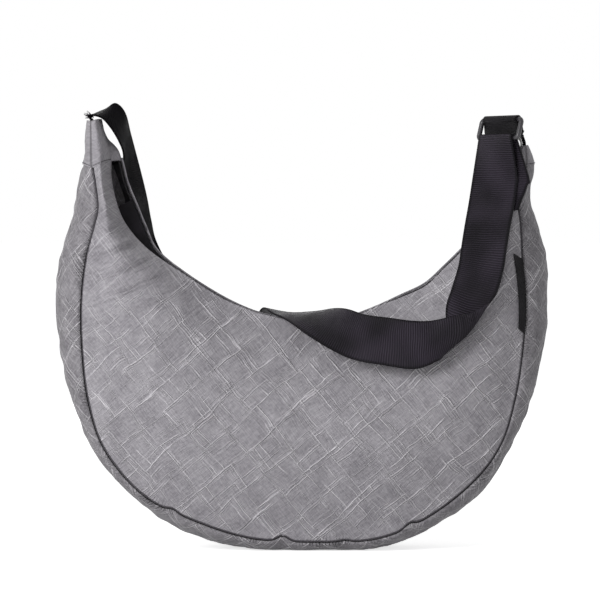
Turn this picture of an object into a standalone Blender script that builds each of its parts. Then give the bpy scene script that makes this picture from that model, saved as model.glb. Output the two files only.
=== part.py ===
"""Half moon bag: two crescent panels and a gusset, a zipped mouth, and one webbing strap.

Metres, +Z up, front at -Y. The origin is under the middle of the bag, on the surface it stands on.
The shell is lofted along the crescent: u runs from the left horn's tip to the right horn's tip,
v from a lip down to the seam, and w round the gusset from the front seam to the back seam.
"""
import math

import bpy
import numpy as np

# Driving dimensions
BODY_WIDTH = 0.458
BODY_HEIGHT = 0.404
SEAM_SPREAD = 0.080
PANEL_CROWN = 0.020
HORN_DEPTH = 0.058
MOUTH_WIDTH = 0.026
HORN_SLIT = 0.0014
FULLNESS_POWER = 0.9
CROWN_GAIN = 1.12
CROWN_POWER = 1.2
HORN_SHARPNESS = 7.0
MIDDLE_SHARPNESS = 2.5

FABRIC = 0.0012
LINING = 0.0005
GAP = 0.0003
SEAM_TRIM = 0.0018
CUFF_GAP = 0.0024
BINDING_RADIUS = 0.0009
THREAD_RADIUS = 0.0004
LINING_GAP = 0.0006
LINING_DEPTH = FABRIC + LINING_GAP

ZIP_DROP = 0.00886
CHAIN_WIDTH = 0.0024
CHAIN_HEIGHT = 0.0022
CHAIN_PARTING = 0.0004
TAPE = 0.0006
TAPE_BEYOND = 1.0
TAPE_EDGE_DROP = 2.2 * FABRIC
TAPE_EDGE_INSET = 0.4 * FABRIC
STOP_LENGTH = 0.004
STOP_HEIGHT = 0.6 * CHAIN_HEIGHT
SLIDER_LENGTH = 0.011
SLIDER_WIDTH = 0.0090
SLIDER_WALL = 0.0011
SLIDER_REST_BACK = 4.0
BAIL_LENGTH = 0.55 * SLIDER_LENGTH
BAIL_HEIGHT = 0.0026
BAIL_WIDTH = 0.0022
PULL_LENGTH = 0.026
PULL_WIDTH = 0.0068
PULL_THICKNESS = 0.0013
RUNNING_GAP = 0.0004

STRAP_WIDTH = 0.045
STRAP = 0.0016
STRAP_DOUBLED = 0.048
FOLD_STRAY = 0.008
RING_INNER = 0.0500
RING_DROP = 0.0180
RING_WIRE = 0.0046
RING_CORNER = 0.0035
RING_SWAY = 38.0
RING_LEAN = 16.0
TAB_WIDTH = 0.045
TAB_FOOT_WIDTH = 0.038
TAB = 0.0012
TAB_NECK = 0.0135
TAB_LEAN = 66.0
BARTACK = 0.0008
BARTACK_MARGIN_SHARE = 0.12

LABEL = 0.0007
LABEL_LIFT = 0.0011
LABEL_LOW_WIDTH = 0.0070
LABEL_TOP_WIDTH = 0.0100
LABEL_MARGIN = 0.0022

ALONG_SHELL = 50
ACROSS_PANEL = 8
ACROSS_GUSSET = 8
ALONG_CUFF = 8
ACROSS_CUFF = 7
ALONG_LABEL = 10
ACROSS_LABEL = 4
ALONG_ZIP = 40
ALONG_CHAIN = 56
SPACING_SHARE = 0.001
MOST_TRIM_SHARE = 0.6

# Section rows from the left horn's tip to the right's, each a point (x, z) as shares of the
# body's width and height: front lip, back lip, seam, and the gusset's outermost line
SECTION_SHARES = [
    ((-0.407, 0.991), (-0.405, 0.991), (-0.423, 0.984), (-0.433, 0.988)),
    ((-0.398, 0.954), (-0.394, 0.949), (-0.422, 0.940), (-0.437, 0.947)),
    ((-0.388, 0.922), (-0.374, 0.924), (-0.421, 0.906), (-0.437, 0.913)),
    ((-0.386, 0.894), (-0.362, 0.896), (-0.419, 0.876), (-0.442, 0.887)),
    ((-0.385, 0.853), (-0.351, 0.846), (-0.413, 0.834), (-0.452, 0.850)),
    ((-0.374, 0.797), (-0.333, 0.795), (-0.409, 0.786), (-0.459, 0.795)),
    ((-0.354, 0.747), (-0.316, 0.747), (-0.417, 0.742), (-0.467, 0.745)),
    ((-0.309, 0.690), (-0.291, 0.689), (-0.432, 0.673), (-0.488, 0.671)),
    ((-0.231, 0.629), (-0.231, 0.634), (-0.442, 0.577), (-0.497, 0.590)),
    ((-0.161, 0.579), (-0.159, 0.583), (-0.441, 0.468), (-0.487, 0.468)),
    ((-0.100, 0.550), (-0.100, 0.552), (-0.429, 0.349), (-0.468, 0.349)),
    ((-0.059, 0.537), (-0.059, 0.540), (-0.396, 0.236), (-0.423, 0.227)),
    ((-0.026, 0.530), (-0.026, 0.533), (-0.321, 0.134), (-0.347, 0.131)),
    ((0.002, 0.527), (0.002, 0.529), (-0.226, 0.078), (-0.242, 0.043)),
    ((0.030, 0.526), (0.030, 0.528), (-0.102, 0.033), (-0.108, 0.006)),
    ((0.059, 0.527), (0.059, 0.529), (0.035, 0.024), (0.035, 0.000)),
    ((0.089, 0.533), (0.089, 0.535), (0.154, 0.032), (0.163, 0.008)),
    ((0.122, 0.544), (0.122, 0.547), (0.252, 0.079), (0.270, 0.052)),
    ((0.161, 0.563), (0.161, 0.565), (0.343, 0.158), (0.366, 0.135)),
    ((0.205, 0.582), (0.205, 0.588), (0.402, 0.247), (0.425, 0.241)),
    ((0.252, 0.607), (0.252, 0.614), (0.433, 0.365), (0.472, 0.362)),
    ((0.291, 0.648), (0.292, 0.655), (0.448, 0.491), (0.495, 0.480)),
    ((0.326, 0.687), (0.327, 0.694), (0.451, 0.579), (0.497, 0.572)),
    ((0.360, 0.728), (0.362, 0.734), (0.445, 0.669), (0.497, 0.659)),
    ((0.386, 0.770), (0.392, 0.772), (0.442, 0.745), (0.480, 0.742)),
    ((0.404, 0.811), (0.413, 0.814), (0.437, 0.797), (0.464, 0.797)),
    ((0.417, 0.848), (0.427, 0.850), (0.441, 0.841), (0.463, 0.841)),
    ((0.425, 0.883), (0.435, 0.885), (0.451, 0.880), (0.472, 0.885)),
    ((0.432, 0.908), (0.439, 0.910), (0.452, 0.910), (0.467, 0.910)),
    ((0.437, 0.926), (0.441, 0.929), (0.451, 0.929), (0.459, 0.931)),
]
LEFT_CUFF_SHARE = 3 / 29
RIGHT_CUFF_SHARE = 27 / 29
LEFT_THREAD_SHARE = LEFT_CUFF_SHARE * 0.94
RIGHT_THREAD_SHARE = 1 - (1 - RIGHT_CUFF_SHARE) * 0.9
MOUTH_SHARES = (LEFT_CUFF_SHARE * 0.9, 0.24, 0.80, RIGHT_THREAD_SHARE)
BASE_LIFT_SHARE = 0.004
LINED_SHARES = (0.20, 0.84)
POCKET_SHARES = (0.40, 0.60)
LABEL_ALONG_SHARES = (0.726, 0.792)
ZIP_CENTRE_SHARES = (0.028, 1.036)
ZIP_LIP_SHARE = 0.527
ZIP_END_SHARES = (-0.3777, 0.4069)

# The strap's two edges, from inside the left horn, behind the bag, over the mouth and across the
# front to just under the ring, then how far its middle stands proud of them: (x, y, z) shares of
# the body's width, depth and height
STRAP_SHARES = [
    ((-0.418, -0.200, 0.940), (-0.418, 0.200, 0.940), (0.000, 0.00, 0.000)),
    ((-0.421, -0.200, 0.976), (-0.421, 0.200, 0.978), (0.000, 0.00, 0.000)),
    ((-0.427, -0.195, 0.993), (-0.428, 0.190, 0.995), (0.000, 0.00, 0.000)),
    ((-0.403, -0.160, 0.990), (-0.398, 0.180, 1.011), (0.000, 0.00, 0.000)),
    ((-0.385, -0.110, 0.970), (-0.379, 0.190, 1.022), (0.000, 0.00, 0.000)),
    ((-0.369, -0.050, 0.940), (-0.361, 0.230, 1.000), (0.000, 0.00, 0.000)),
    ((-0.360, 0.090, 0.911), (-0.352, 0.370, 0.950), (0.000, 0.00, 0.000)),
    ((-0.360, 0.250, 0.862), (-0.336, 0.540, 0.868), (0.000, 0.00, 0.000)),
    ((-0.338, 0.310, 0.795), (-0.323, 0.610, 0.807), (0.000, 0.00, 0.000)),
    ((-0.328, 0.380, 0.690), (-0.314, 0.610, 0.748), (0.000, 0.00, 0.000)),
    ((-0.314, 0.480, 0.618), (-0.302, 0.630, 0.690), (0.000, 0.00, 0.000)),
    ((-0.284, 0.550, 0.530), (-0.262, 0.620, 0.618), (0.000, 0.00, 0.000)),
    ((-0.230, 0.560, 0.468), (-0.206, 0.600, 0.568), (0.000, 0.00, 0.000)),
    ((-0.168, 0.540, 0.444), (-0.158, 0.580, 0.552), (0.000, 0.00, 0.000)),
    ((-0.118, 0.450, 0.432), (-0.112, 0.520, 0.540), (0.000, 0.00, 0.000)),
    ((-0.104, 0.370, 0.480), (-0.060, 0.570, 0.536), (0.000, 0.00, 0.000)),
    ((-0.078, 0.140, 0.547), (-0.030, 0.410, 0.535), (0.000, 0.00, 0.000)),
    ((-0.055, -0.110, 0.540), (0.003, 0.180, 0.540), (0.000, 0.00, 0.000)),
    ((-0.024, -0.270, 0.526), (0.034, -0.010, 0.544), (0.000, 0.00, 0.000)),
    ((0.012, -0.390, 0.500), (0.066, -0.180, 0.549), (0.000, 0.00, 0.000)),
    ((0.057, -0.480, 0.466), (0.094, -0.320, 0.548), (0.000, -0.03, 0.000)),
    ((0.104, -0.540, 0.437), (0.130, -0.420, 0.541), (0.000, -0.04, 0.000)),
    ((0.167, -0.560, 0.421), (0.177, -0.470, 0.538), (0.000, -0.04, 0.000)),
    ((0.224, -0.570, 0.418), (0.226, -0.490, 0.526), (0.000, -0.03, 0.000)),
    ((0.262, -0.590, 0.436), (0.266, -0.430, 0.521), (0.003, -0.04, -0.001)),
    ((0.288, -0.580, 0.460), (0.304, -0.480, 0.520), (0.006, -0.06, -0.008)),
    ((0.305, -0.470, 0.495), (0.328, -0.590, 0.527), (0.012, -0.05, -0.016)),
    ((0.311, -0.440, 0.545), (0.352, -0.570, 0.546), (0.014, -0.03, -0.014)),
    ((0.315, -0.400, 0.600), (0.378, -0.550, 0.583), (0.008, -0.02, -0.006)),
    ((0.320, -0.380, 0.650), (0.397, -0.540, 0.635), (0.002, -0.01, -0.002)),
    ((0.322, -0.360, 0.690), (0.408, -0.520, 0.690), (0.000, 0.00, 0.000)),
    ((0.328, -0.330, 0.740), (0.417, -0.490, 0.740), (0.000, 0.00, 0.000)),
    ((0.337, -0.300, 0.795), (0.427, -0.450, 0.795), (0.000, 0.00, 0.000)),
    ((0.347, -0.260, 0.850), (0.431, -0.420, 0.850), (0.000, 0.00, 0.000)),
]
RING_CENTRE_SHARES = (0.404, -0.240, 0.983)
TAB_FOOT_SHARES = (0.4500, 0.000, 0.895)
TAB_MIDDLE_SHARES = (0.4472, -0.012, 0.941)

COLOURS = {
    "fabric": ((0.290, 0.275, 0.300, 1.0), 0.62, 0.0),
    "gusset": ((0.230, 0.218, 0.240, 1.0), 0.66, 0.0),
    "binding": ((0.020, 0.018, 0.022, 1.0), 0.70, 0.0),
    "lining": ((0.060, 0.058, 0.064, 1.0), 0.75, 0.0),
    "webbing": ((0.028, 0.025, 0.030, 1.0), 0.45, 0.0),
    "tape": ((0.022, 0.020, 0.024, 1.0), 0.80, 0.0),
    "chain": ((0.015, 0.014, 0.016, 1.0), 0.35, 0.0),
    "metal": ((0.030, 0.029, 0.032, 1.0), 0.35, 0.9),
    "ring": ((0.020, 0.019, 0.022, 1.0), 0.32, 0.0),
    "label": ((0.012, 0.011, 0.013, 1.0), 0.60, 0.0),
    "thread": ((0.120, 0.112, 0.125, 1.0), 0.70, 0.0),
}


def clear_scene():
    for obj in list(bpy.data.objects):
        bpy.data.objects.remove(obj, do_unlink=True)


def make_collection(name, hidden=False):
    collection = bpy.data.collections.new(name)
    collection.hide_render = hidden
    bpy.context.scene.collection.children.link(collection)
    return collection


def material(name, kind):
    """A Principled material of this piece's own."""
    colour, roughness, metallic = COLOURS[kind]
    made = bpy.data.materials.new(name)
    made.use_nodes = True
    shader = made.node_tree.nodes["Principled BSDF"]
    shader.inputs["Base Color"].default_value = colour
    shader.inputs["Roughness"].default_value = roughness
    shader.inputs["Metallic"].default_value = metallic
    made.diffuse_color = colour
    return made


def add_object(name, data, kind, collection):
    obj = bpy.data.objects.new(name, data)
    data.materials.append(material(name + "_material", kind))
    collection.objects.link(obj)
    return obj


def smooth_rows(rows, places):
    """Rows of numbers read at fractional places, on a smooth curve through every row."""
    rows = np.asarray(rows, float)
    last = len(rows) - 1
    place = np.clip(np.asarray(places, float), 0.0, last)
    index = np.minimum(place.astype(int), last - 1)
    part = (place - index).reshape((-1,) + (1,) * (rows.ndim - 1))
    before, after = rows[np.maximum(index - 1, 0)], rows[np.minimum(index + 2, last)]
    here, there = rows[index], rows[index + 1]
    leave, arrive = (there - before) / 2, (after - here) / 2
    square, cube = part**2, part**3
    return (
        (2 * cube - 3 * square + 1) * here
        + (cube - 2 * square + part) * leave
        + (3 * square - 2 * cube) * there
        + (cube - square) * arrive
    )


def ease(value, start, end):
    part = np.clip((value - start) / (end - start), 0.0, 1.0)
    return part * part * (3 - 2 * part)


def unit(vectors):
    vectors = np.asarray(vectors, float)
    return vectors / np.maximum(np.linalg.norm(vectors, axis=-1, keepdims=True), 1e-12)


def mix(a, b, part):
    return a + (b - a) * part


# Shape of the shell


def body_depth():
    return SEAM_SPREAD + 2 * PANEL_CROWN


def from_shares(shares):
    return np.asarray(shares, float) * (BODY_WIDTH, body_depth(), BODY_HEIGHT)


def section_points(u):
    """Front lip, back lip, seam and outermost line at u, as (x, z) in metres."""
    places = np.asarray(u, float) * (len(SECTION_SHARES) - 1)
    points = smooth_rows(SECTION_SHARES, places) * (BODY_WIDTH, BODY_HEIGHT)
    points[..., 1] -= BODY_HEIGHT * BASE_LIFT_SHARE
    return points


def fullness(u):
    """0 at the horns' tips and 1 in the middle of the bag."""
    return np.sin(np.pi * np.clip(u, 0.0, 1.0)) ** FULLNESS_POWER


def seam_half(u):
    return mix(HORN_DEPTH, SEAM_SPREAD, fullness(u)) / 2


def lip_half(u):
    closed_left, open_left, open_right, closed_right = MOUTH_SHARES
    opened = ease(u, closed_left, open_left) * (1 - ease(u, open_right, closed_right))
    return mix(HORN_SLIT, MOUTH_WIDTH, opened) / 2


def panel_surface(u, v, side):
    """Outer surface of the front (side -1) or back (side +1) panel."""
    points = section_points(u)
    lip = points[:, 0] if side < 0 else points[:, 1]
    seam = points[:, 2]
    flat = mix(lip, seam, v[:, None])
    full = fullness(u)
    sharpness = mix(HORN_SHARPNESS, MIDDLE_SHARPNESS, full)
    low, high = lip_half(u), seam_half(u)
    depth = mix(low, high, 1 - (1 - v) ** sharpness)
    depth = depth + PANEL_CROWN * CROWN_GAIN * full * np.sin(np.pi * np.clip(v, 0, 1)) ** CROWN_POWER
    return np.stack([flat[:, 0], side * depth, np.maximum(flat[:, 1], 0.0)], axis=1)


def gusset_surface(u, w):
    """Outer surface of the gusset, w from 0 at the front seam to 1 at the back seam."""
    points = section_points(u)
    turn = np.pi * w
    flat = mix(points[:, 2], points[:, 3], np.sin(turn)[:, None])
    depth = -seam_half(u) * np.cos(turn)
    return np.stack([flat[:, 0], depth, np.maximum(flat[:, 1], 0.0)], axis=1)


def inward_normals(surface, a, b, towards):
    """Unit normals of surface(a, b) on the side that faces the point towards."""
    step = SPACING_SHARE
    along = surface(a + step, b) - surface(a - step, b)
    across = surface(a, b + step) - surface(a, b - step)
    normals = unit(np.cross(along, across))
    flip = np.sign(np.einsum("ij,ij->i", normals, towards - surface(a, b)))
    return normals * flip[:, None]


def inner_target(u):
    """A point inside the shell for each u, which the inward side faces."""
    points = section_points(u)
    middle = (points[:, 0] + points[:, 2]) / 2
    return np.stack([middle[:, 0], np.zeros(len(middle)), middle[:, 1]], axis=1)


def shell_grid(surface, across_range, columns, depth, rows_kept=(0, 1), columns_kept=(0, None)):
    """Grid of points at this depth under a surface; across_range gives the two limits at each u.

    Every layer of the shell has its points on the same lines, so that the layers stay parallel."""
    u_line = np.linspace(*shell_range(), ALONG_SHELL)
    low, high = across_range(u_line)
    part = np.linspace(0.0, 1.0, columns)
    u = np.repeat(u_line, columns)
    across = np.repeat(low, columns) + np.repeat(high - low, columns) * np.tile(part, ALONG_SHELL)
    grid = surface(u, across)
    if depth:
        grid = grid + depth * inward_normals(surface, u, across, inner_target(u))
    kept = (u_line >= rows_kept[0]) & (u_line <= rows_kept[1])
    return grid.reshape(ALONG_SHELL, columns, 3)[kept][:, slice(*columns_kept)]


def sheet(name, grid, thickness, kind, collection, inside=None, offset=0.0):
    """An open sheet through a grid of points, given its thickness by Solidify.

    With inside given, the thickness grows from the grid towards that point."""
    rows, columns = grid.shape[:2]
    faces = [
        (r * columns + c, r * columns + c + 1, (r + 1) * columns + c + 1, (r + 1) * columns + c)
        for r in range(rows - 1)
        for c in range(columns - 1)
    ]
    points = grid.reshape(-1, 3)
    if inside is not None:
        r, c = rows // 2, columns // 2
        normal = np.cross(grid[r, c + 1] - grid[r, c], grid[r + 1, c] - grid[r, c])
        if np.dot(normal, np.asarray(inside) - grid[r, c]) > 0:
            faces = [tuple(reversed(face)) for face in faces]
        offset = -1.0
    mesh = bpy.data.meshes.new(name)
    mesh.from_pydata(points.tolist(), [], faces)
    mesh.shade_smooth()
    obj = add_object(name, mesh, kind, collection)
    solidify = obj.modifiers.new("thickness", "SOLIDIFY")
    solidify.thickness = thickness
    solidify.offset = offset
    return obj


def tube(name, path, radius, kind, collection, closed=False, sides=2):
    curve = bpy.data.curves.new(name, "CURVE")
    curve.dimensions = "3D"
    curve.bevel_depth = radius
    curve.bevel_resolution = sides
    curve.use_fill_caps = not closed
    spline = curve.splines.new("POLY")
    spline.points.add(len(path) - 1)
    for point, place in zip(spline.points, path):
        point.co = (*place, 1.0)
    spline.use_cyclic_u = closed
    return add_object(name, curve, kind, collection)


def box(name, size, centre, kind, collection):
    bpy.ops.mesh.primitive_cube_add(size=1.0)
    obj = bpy.context.active_object
    for other in list(obj.users_collection):
        other.objects.unlink(obj)
    collection.objects.link(obj)
    obj.name = name
    obj.data.name = name
    for vertex in obj.data.vertices:
        vertex.co = [centre[axis] + size[axis] * vertex.co[axis] for axis in range(3)]
    if kind:
        obj.data.materials.append(material(name + "_material", kind))
    return obj


def cut(obj, cutter):
    modifier = obj.modifiers.new("cut_" + cutter.name, "BOOLEAN")
    modifier.operation = "DIFFERENCE"
    modifier.object = cutter
    cutter.hide_render = True
    cutter.display_type = "WIRE"


def bevel(obj, width, segments=2):
    modifier = obj.modifiers.new("rounded_edges", "BEVEL")
    modifier.width = width
    modifier.segments = segments


# The bag's body


def panel_limits(u):
    points = section_points(u)
    length = np.linalg.norm(points[:, 2] - points[:, 0], axis=1)
    return np.zeros(len(u)), 1 - SEAM_TRIM / length


def gusset_limits(u):
    points = section_points(u)
    rise = np.linalg.norm(points[:, 3] - points[:, 2], axis=1)
    trim = np.arcsin(np.minimum(SEAM_TRIM / rise, MOST_TRIM_SHARE)) / np.pi
    return trim, 1 - trim


def shell_range(extra=0.0):
    joint = (CUFF_GAP + extra) / (3 * BODY_HEIGHT)
    return LEFT_CUFF_SHARE + joint, RIGHT_CUFF_SHARE - joint


def make_panels(parts):
    centre = inner_target(np.array([0.5]))[0]
    for side, name in ((-1, "front"), (1, "back")):
        def surface(u, v, side=side):
            return panel_surface(u, v, side)

        outer = shell_grid(surface, panel_limits, ACROSS_PANEL, 0.0)
        sheet(name + "_panel", outer, FABRIC, "fabric", parts, inside=centre)
        under = shell_grid(surface, panel_limits, ACROSS_PANEL, LINING_DEPTH, LINED_SHARES, (1, -1))
        sheet(name + "_lining", under, LINING, "lining", parts, inside=centre)


def make_gusset(parts):
    centre = inner_target(np.array([0.5]))[0]
    outer = shell_grid(gusset_surface, gusset_limits, ACROSS_GUSSET, 0.0)
    sheet("gusset", outer, FABRIC, "gusset", parts, inside=centre)
    under = shell_grid(gusset_surface, gusset_limits, ACROSS_GUSSET, LINING_DEPTH, LINED_SHARES, (1, -1))
    sheet("gusset_lining", under, LINING, "lining", parts, inside=centre)


def make_bindings(parts):
    u = np.clip(np.linspace(*shell_range(), ALONG_SHELL), *shell_range(BINDING_RADIUS))
    for side, name in ((-1, "front"), (1, "back")):
        path = panel_surface(u, np.ones(len(u)), side)
        path[:, 2] = np.maximum(path[:, 2], BINDING_RADIUS + GAP)
        tube(name + "_seam_binding", path, BINDING_RADIUS, "binding", parts, sides=1)


def horn_ring(u, columns):
    """Closed outline of a horn's section at one u: front panel, gusset and back panel."""
    along = np.full(columns, u)
    v = np.linspace(0.0, 1.0, columns)
    front = panel_surface(along, v, -1)
    back = panel_surface(along, v, 1)
    w = np.linspace(0.0, 1.0, columns + 2)[1:-1]
    outside = gusset_surface(np.full(columns, u), w)
    return np.concatenate([front, outside, back[::-1]])


def make_cuff(parts, side, u_range):
    """The sewn sleeve that ends a horn, open at both ends."""
    grid = np.stack([horn_ring(u, ACROSS_CUFF) for u in np.linspace(*u_range, ALONG_CUFF)])
    name = side + "_horn_cuff"
    columns = grid.shape[1]
    faces = []
    for row in range(ALONG_CUFF - 1):
        here, above = row * columns, (row + 1) * columns
        for column in range(columns):
            following = (column + 1) % columns
            faces.append((here + column, here + following, above + following, above + column))
    points = grid.reshape(-1, 3)
    normal = np.cross(points[1] - points[0], points[columns] - points[0])
    if np.dot(normal, grid[0].mean(axis=0) - points[0]) > 0:
        faces = [tuple(reversed(face)) for face in faces]
    mesh = bpy.data.meshes.new(name)
    mesh.from_pydata(points.tolist(), [], faces)
    mesh.shade_smooth()
    obj = add_object(name, mesh, "fabric", parts)
    solidify = obj.modifiers.new("thickness", "SOLIDIFY")
    solidify.thickness = FABRIC
    solidify.offset = -1.0


def make_cuff_thread(parts, side, u):
    ring = horn_ring(u, ACROSS_CUFF + 2)
    above = horn_ring(u + SPACING_SHARE, ACROSS_CUFF).mean(axis=0)
    middle = ring.mean(axis=0)
    tangent = np.roll(ring, -1, axis=0) - np.roll(ring, 1, axis=0)
    outward = unit(np.cross(tangent, unit(above - middle)))
    outward *= np.sign(np.einsum("ij,ij->i", outward, ring - middle))[:, None]
    path = ring + outward * (THREAD_RADIUS + 2 * GAP)
    tube(side + "_cuff_thread", path, THREAD_RADIUS, "thread", parts, closed=True, sides=1)


def make_pocket(parts):
    def surface(u, v):
        return panel_surface(u, v, 1)

    depth = LINING_DEPTH + LINING + LINING_GAP
    centre = inner_target(np.array([0.5]))[0]
    grid = shell_grid(surface, panel_limits, ACROSS_PANEL, depth, POCKET_SHARES, (2, -2))
    sheet("inner_pocket", grid, LINING, "lining", parts, inside=centre)
    hem = grid[:, 0].copy()
    hem[:, 1] -= LINING + GAP + THREAD_RADIUS * 2
    tube("pocket_hem", hem, THREAD_RADIUS * 2, "tape", parts, sides=1)


def make_label(parts):
    """Narrow folded label in the right seam, left bare and a little wider at its top."""
    def surface(u, v):
        return panel_surface(u, v, -1)

    u_line = np.linspace(*LABEL_ALONG_SHARES, ALONG_LABEL)
    points = section_points(u_line)
    length = np.linalg.norm(points[:, 2] - points[:, 0], axis=1)
    wide = np.linspace(LABEL_LOW_WIDTH, LABEL_TOP_WIDTH, ALONG_LABEL)
    inset = LABEL_MARGIN + wide[:, None] * np.linspace(1.0, 0.0, ACROSS_LABEL)
    u, v = np.repeat(u_line, ACROSS_LABEL), (1 - inset / length[:, None]).ravel()
    grid = surface(u, v) - LABEL_LIFT * inward_normals(surface, u, v, inner_target(u))
    grid = grid.reshape(ALONG_LABEL, ACROSS_LABEL, 3)
    sheet("side_label", grid, LABEL, "label", parts, inside=(0.0, -body_depth(), BODY_HEIGHT))


# The zipper, an arc about one centre


def zip_centre():
    x_share, z_share = ZIP_CENTRE_SHARES
    return np.array([BODY_WIDTH * x_share, 0.0, BODY_HEIGHT * z_share])


def zip_radius():
    """The chain's distance from the arc's centre: it lies a little below the lowest part of the lips."""
    return BODY_HEIGHT * (ZIP_CENTRE_SHARES[1] - ZIP_LIP_SHARE) + ZIP_DROP


def zip_angles():
    """The arc's ends at the left and the right, in degrees from straight down."""
    reach = np.array(ZIP_END_SHARES) * BODY_WIDTH - zip_centre()[0]
    return np.degrees(np.arcsin(np.clip(reach / zip_radius(), -0.97, 0.97)))


def zip_point(angle, radius, y):
    """Point on the arc, angle in degrees from straight down, positive to the right."""
    turn = np.radians(angle)
    depth = np.broadcast_to(y, np.shape(turn))
    return zip_centre() + np.stack([radius * np.sin(turn), depth, -radius * np.cos(turn)], axis=-1)


def lip_line(side, angles):
    """The lip's inner edge at these angles about the zipper's centre."""
    u = np.linspace(LEFT_CUFF_SHARE, RIGHT_CUFF_SHARE, 400)
    lip = panel_surface(u, np.zeros(len(u)), side)
    away = lip - zip_centre()
    angle = np.degrees(np.arctan2(away[:, 0], -away[:, 2]))
    radius = np.hypot(away[:, 0], away[:, 2])
    order = np.argsort(angle)
    found = np.interp(angles, angle[order], radius[order])
    depth = np.interp(angles, angle[order], lip[order, 1])
    return found, depth


def make_zipper_tapes(parts):
    left, right = zip_angles()
    angles = np.linspace(left - TAPE_BEYOND, right + TAPE_BEYOND, ALONG_ZIP)
    bottom = zip_radius() + CHAIN_HEIGHT / 2 + GAP + TAPE / 2
    for side, name in ((-1, "front"), (1, "back")):
        radius, depth = lip_line(side, angles)
        edge_radius = np.minimum(radius + TAPE_EDGE_DROP, bottom - FABRIC)
        edge = side * np.maximum(np.abs(depth) - TAPE_EDGE_INSET, SLIDER_WIDTH / 2 + FABRIC)
        foot = side * (SLIDER_WIDTH / 2 + RUNNING_GAP)
        rows = [
            zip_point(angles, edge_radius, edge),
            zip_point(angles, mix(edge_radius, bottom, 0.7), mix(edge, foot, 0.5)),
            zip_point(angles, bottom, foot),
            zip_point(angles, bottom, side * CHAIN_PARTING / 2),
        ]
        sheet(name + "_zipper_tape", np.stack(rows, axis=1), TAPE, "tape", parts)


def make_chain(parts):
    """Each half of the closed chain, as a narrow band on its tape."""
    angles = np.linspace(*zip_angles(), ALONG_CHAIN)
    for side, name in ((-1, "front"), (1, "back")):
        near, far = side * CHAIN_PARTING / 2, side * (CHAIN_PARTING / 2 + CHAIN_WIDTH)
        grid = np.stack([zip_point(angles, zip_radius(), y) for y in (near, far)], axis=1)
        sheet(name + "_zipper_chain", grid, CHAIN_HEIGHT, "chain", parts)


def slider_rest_angle():
    return float(zip_angles()[1]) - SLIDER_REST_BACK


def turned_about_zip(obj, angle):
    """Stands an object that was built at the arc's lowest point at this angle along it."""
    centre = zip_centre()
    for vertex in obj.data.vertices:
        vertex.co = [vertex.co[axis] - centre[axis] for axis in range(3)]
    obj.location = centre
    obj.rotation_euler = (0.0, -math.radians(angle), 0.0)


def chain_top():
    return zip_point(0.0, zip_radius() - CHAIN_HEIGHT / 2, 0.0)


def make_stops(parts):
    lowest = chain_top()
    for name, angle in zip(("left_zipper_stop", "right_zipper_stop"), zip_angles()):
        inward = -math.copysign(math.degrees(STOP_LENGTH / 2 / zip_radius()), angle)
        size = (STOP_LENGTH, 2 * CHAIN_WIDTH, STOP_HEIGHT)
        centre = lowest + np.array([0.0, 0.0, GAP + size[2] / 2])
        obj = box(name, size, centre, "metal", parts)
        bevel(obj, size[2] / 4)
        turned_about_zip(obj, angle + inward)


def make_slider(parts, cutters):
    """A channel that rides over the chain, with a bail on top that holds the pull tab."""
    mid_x = zip_centre()[0]
    top = slider_top()
    channel_width = 2 * CHAIN_WIDTH + CHAIN_PARTING + 2 * RUNNING_GAP
    skirt = CHAIN_HEIGHT - GAP
    size = (SLIDER_LENGTH, SLIDER_WIDTH, top - chain_top()[2] + skirt)
    body = box("zipper_slider", size, (mid_x, 0.0, top - size[2] / 2), "metal", parts)
    channel_size = (2 * SLIDER_LENGTH, channel_width, size[2])
    channel_place = (mid_x, 0.0, top - SLIDER_WALL - size[2] / 2)
    channel = box("slider_channel", channel_size, channel_place, None, cutters)
    cut(body, channel)
    bail_size = (BAIL_LENGTH, BAIL_WIDTH, BAIL_HEIGHT + SLIDER_WALL / 2)
    bail_place = (mid_x, 0.0, top - SLIDER_WALL / 2 + bail_size[2] / 2)
    bail = box("slider_bail", bail_size, bail_place, None, cutters)
    join = body.modifiers.new("bail", "BOOLEAN")
    join.operation = "UNION"
    join.object = bail
    bail.hide_render = True
    bail.display_type = "WIRE"
    hole_width = PULL_THICKNESS + 2 * RUNNING_GAP
    hole = box("bail_hole", (hole_width, 3 * BAIL_WIDTH, hole_width), pull_pin_place(), None, cutters)
    cut(body, hole)
    for obj in (body, channel, bail, hole):
        turned_about_zip(obj, slider_rest_angle())


def slider_top():
    return chain_top()[2] + 2 * RUNNING_GAP + SLIDER_WALL


def pull_pin_place():
    """Middle of the bail's hole, with the slider at the arc's lowest point."""
    rise = BAIL_HEIGHT - PULL_THICKNESS / 2 - RUNNING_GAP - SLIDER_WALL / 2
    return np.array([zip_centre()[0], 0.0, slider_top() + rise])


def make_pull(parts, cutters):
    """Flat pull tab with an eye whose cross bar passes through the slider's bail."""
    pin = pull_pin_place()
    tab_size = (PULL_LENGTH, PULL_WIDTH, PULL_THICKNESS)
    tab_place = (pin[0] - PULL_LENGTH / 2 + PULL_THICKNESS / 2, 0.0, pin[2])
    tab = box("zipper_pull", tab_size, tab_place, "metal", parts)
    eye_length = BAIL_LENGTH / 2 + 2 * RUNNING_GAP + 2 * PULL_THICKNESS
    eye_size = (eye_length, BAIL_WIDTH + 2 * RUNNING_GAP, 3 * PULL_THICKNESS)
    eye_place = (pin[0] - PULL_THICKNESS / 2 - eye_length / 2, 0.0, pin[2])
    eye = box("pull_eye", eye_size, eye_place, None, cutters)
    cut(tab, eye)
    for obj in (tab, eye):
        turned_about_zip(obj, slider_rest_angle())
    away = pin - zip_centre()
    place = zip_point(slider_rest_angle(), -away[2], 0.0)
    for obj in (tab, eye):
        for vertex in obj.data.vertices:
            vertex.co = [vertex.co[axis] - away[axis] for axis in range(3)]
        obj.location = place


# The strap, its ring and the tab


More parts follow.
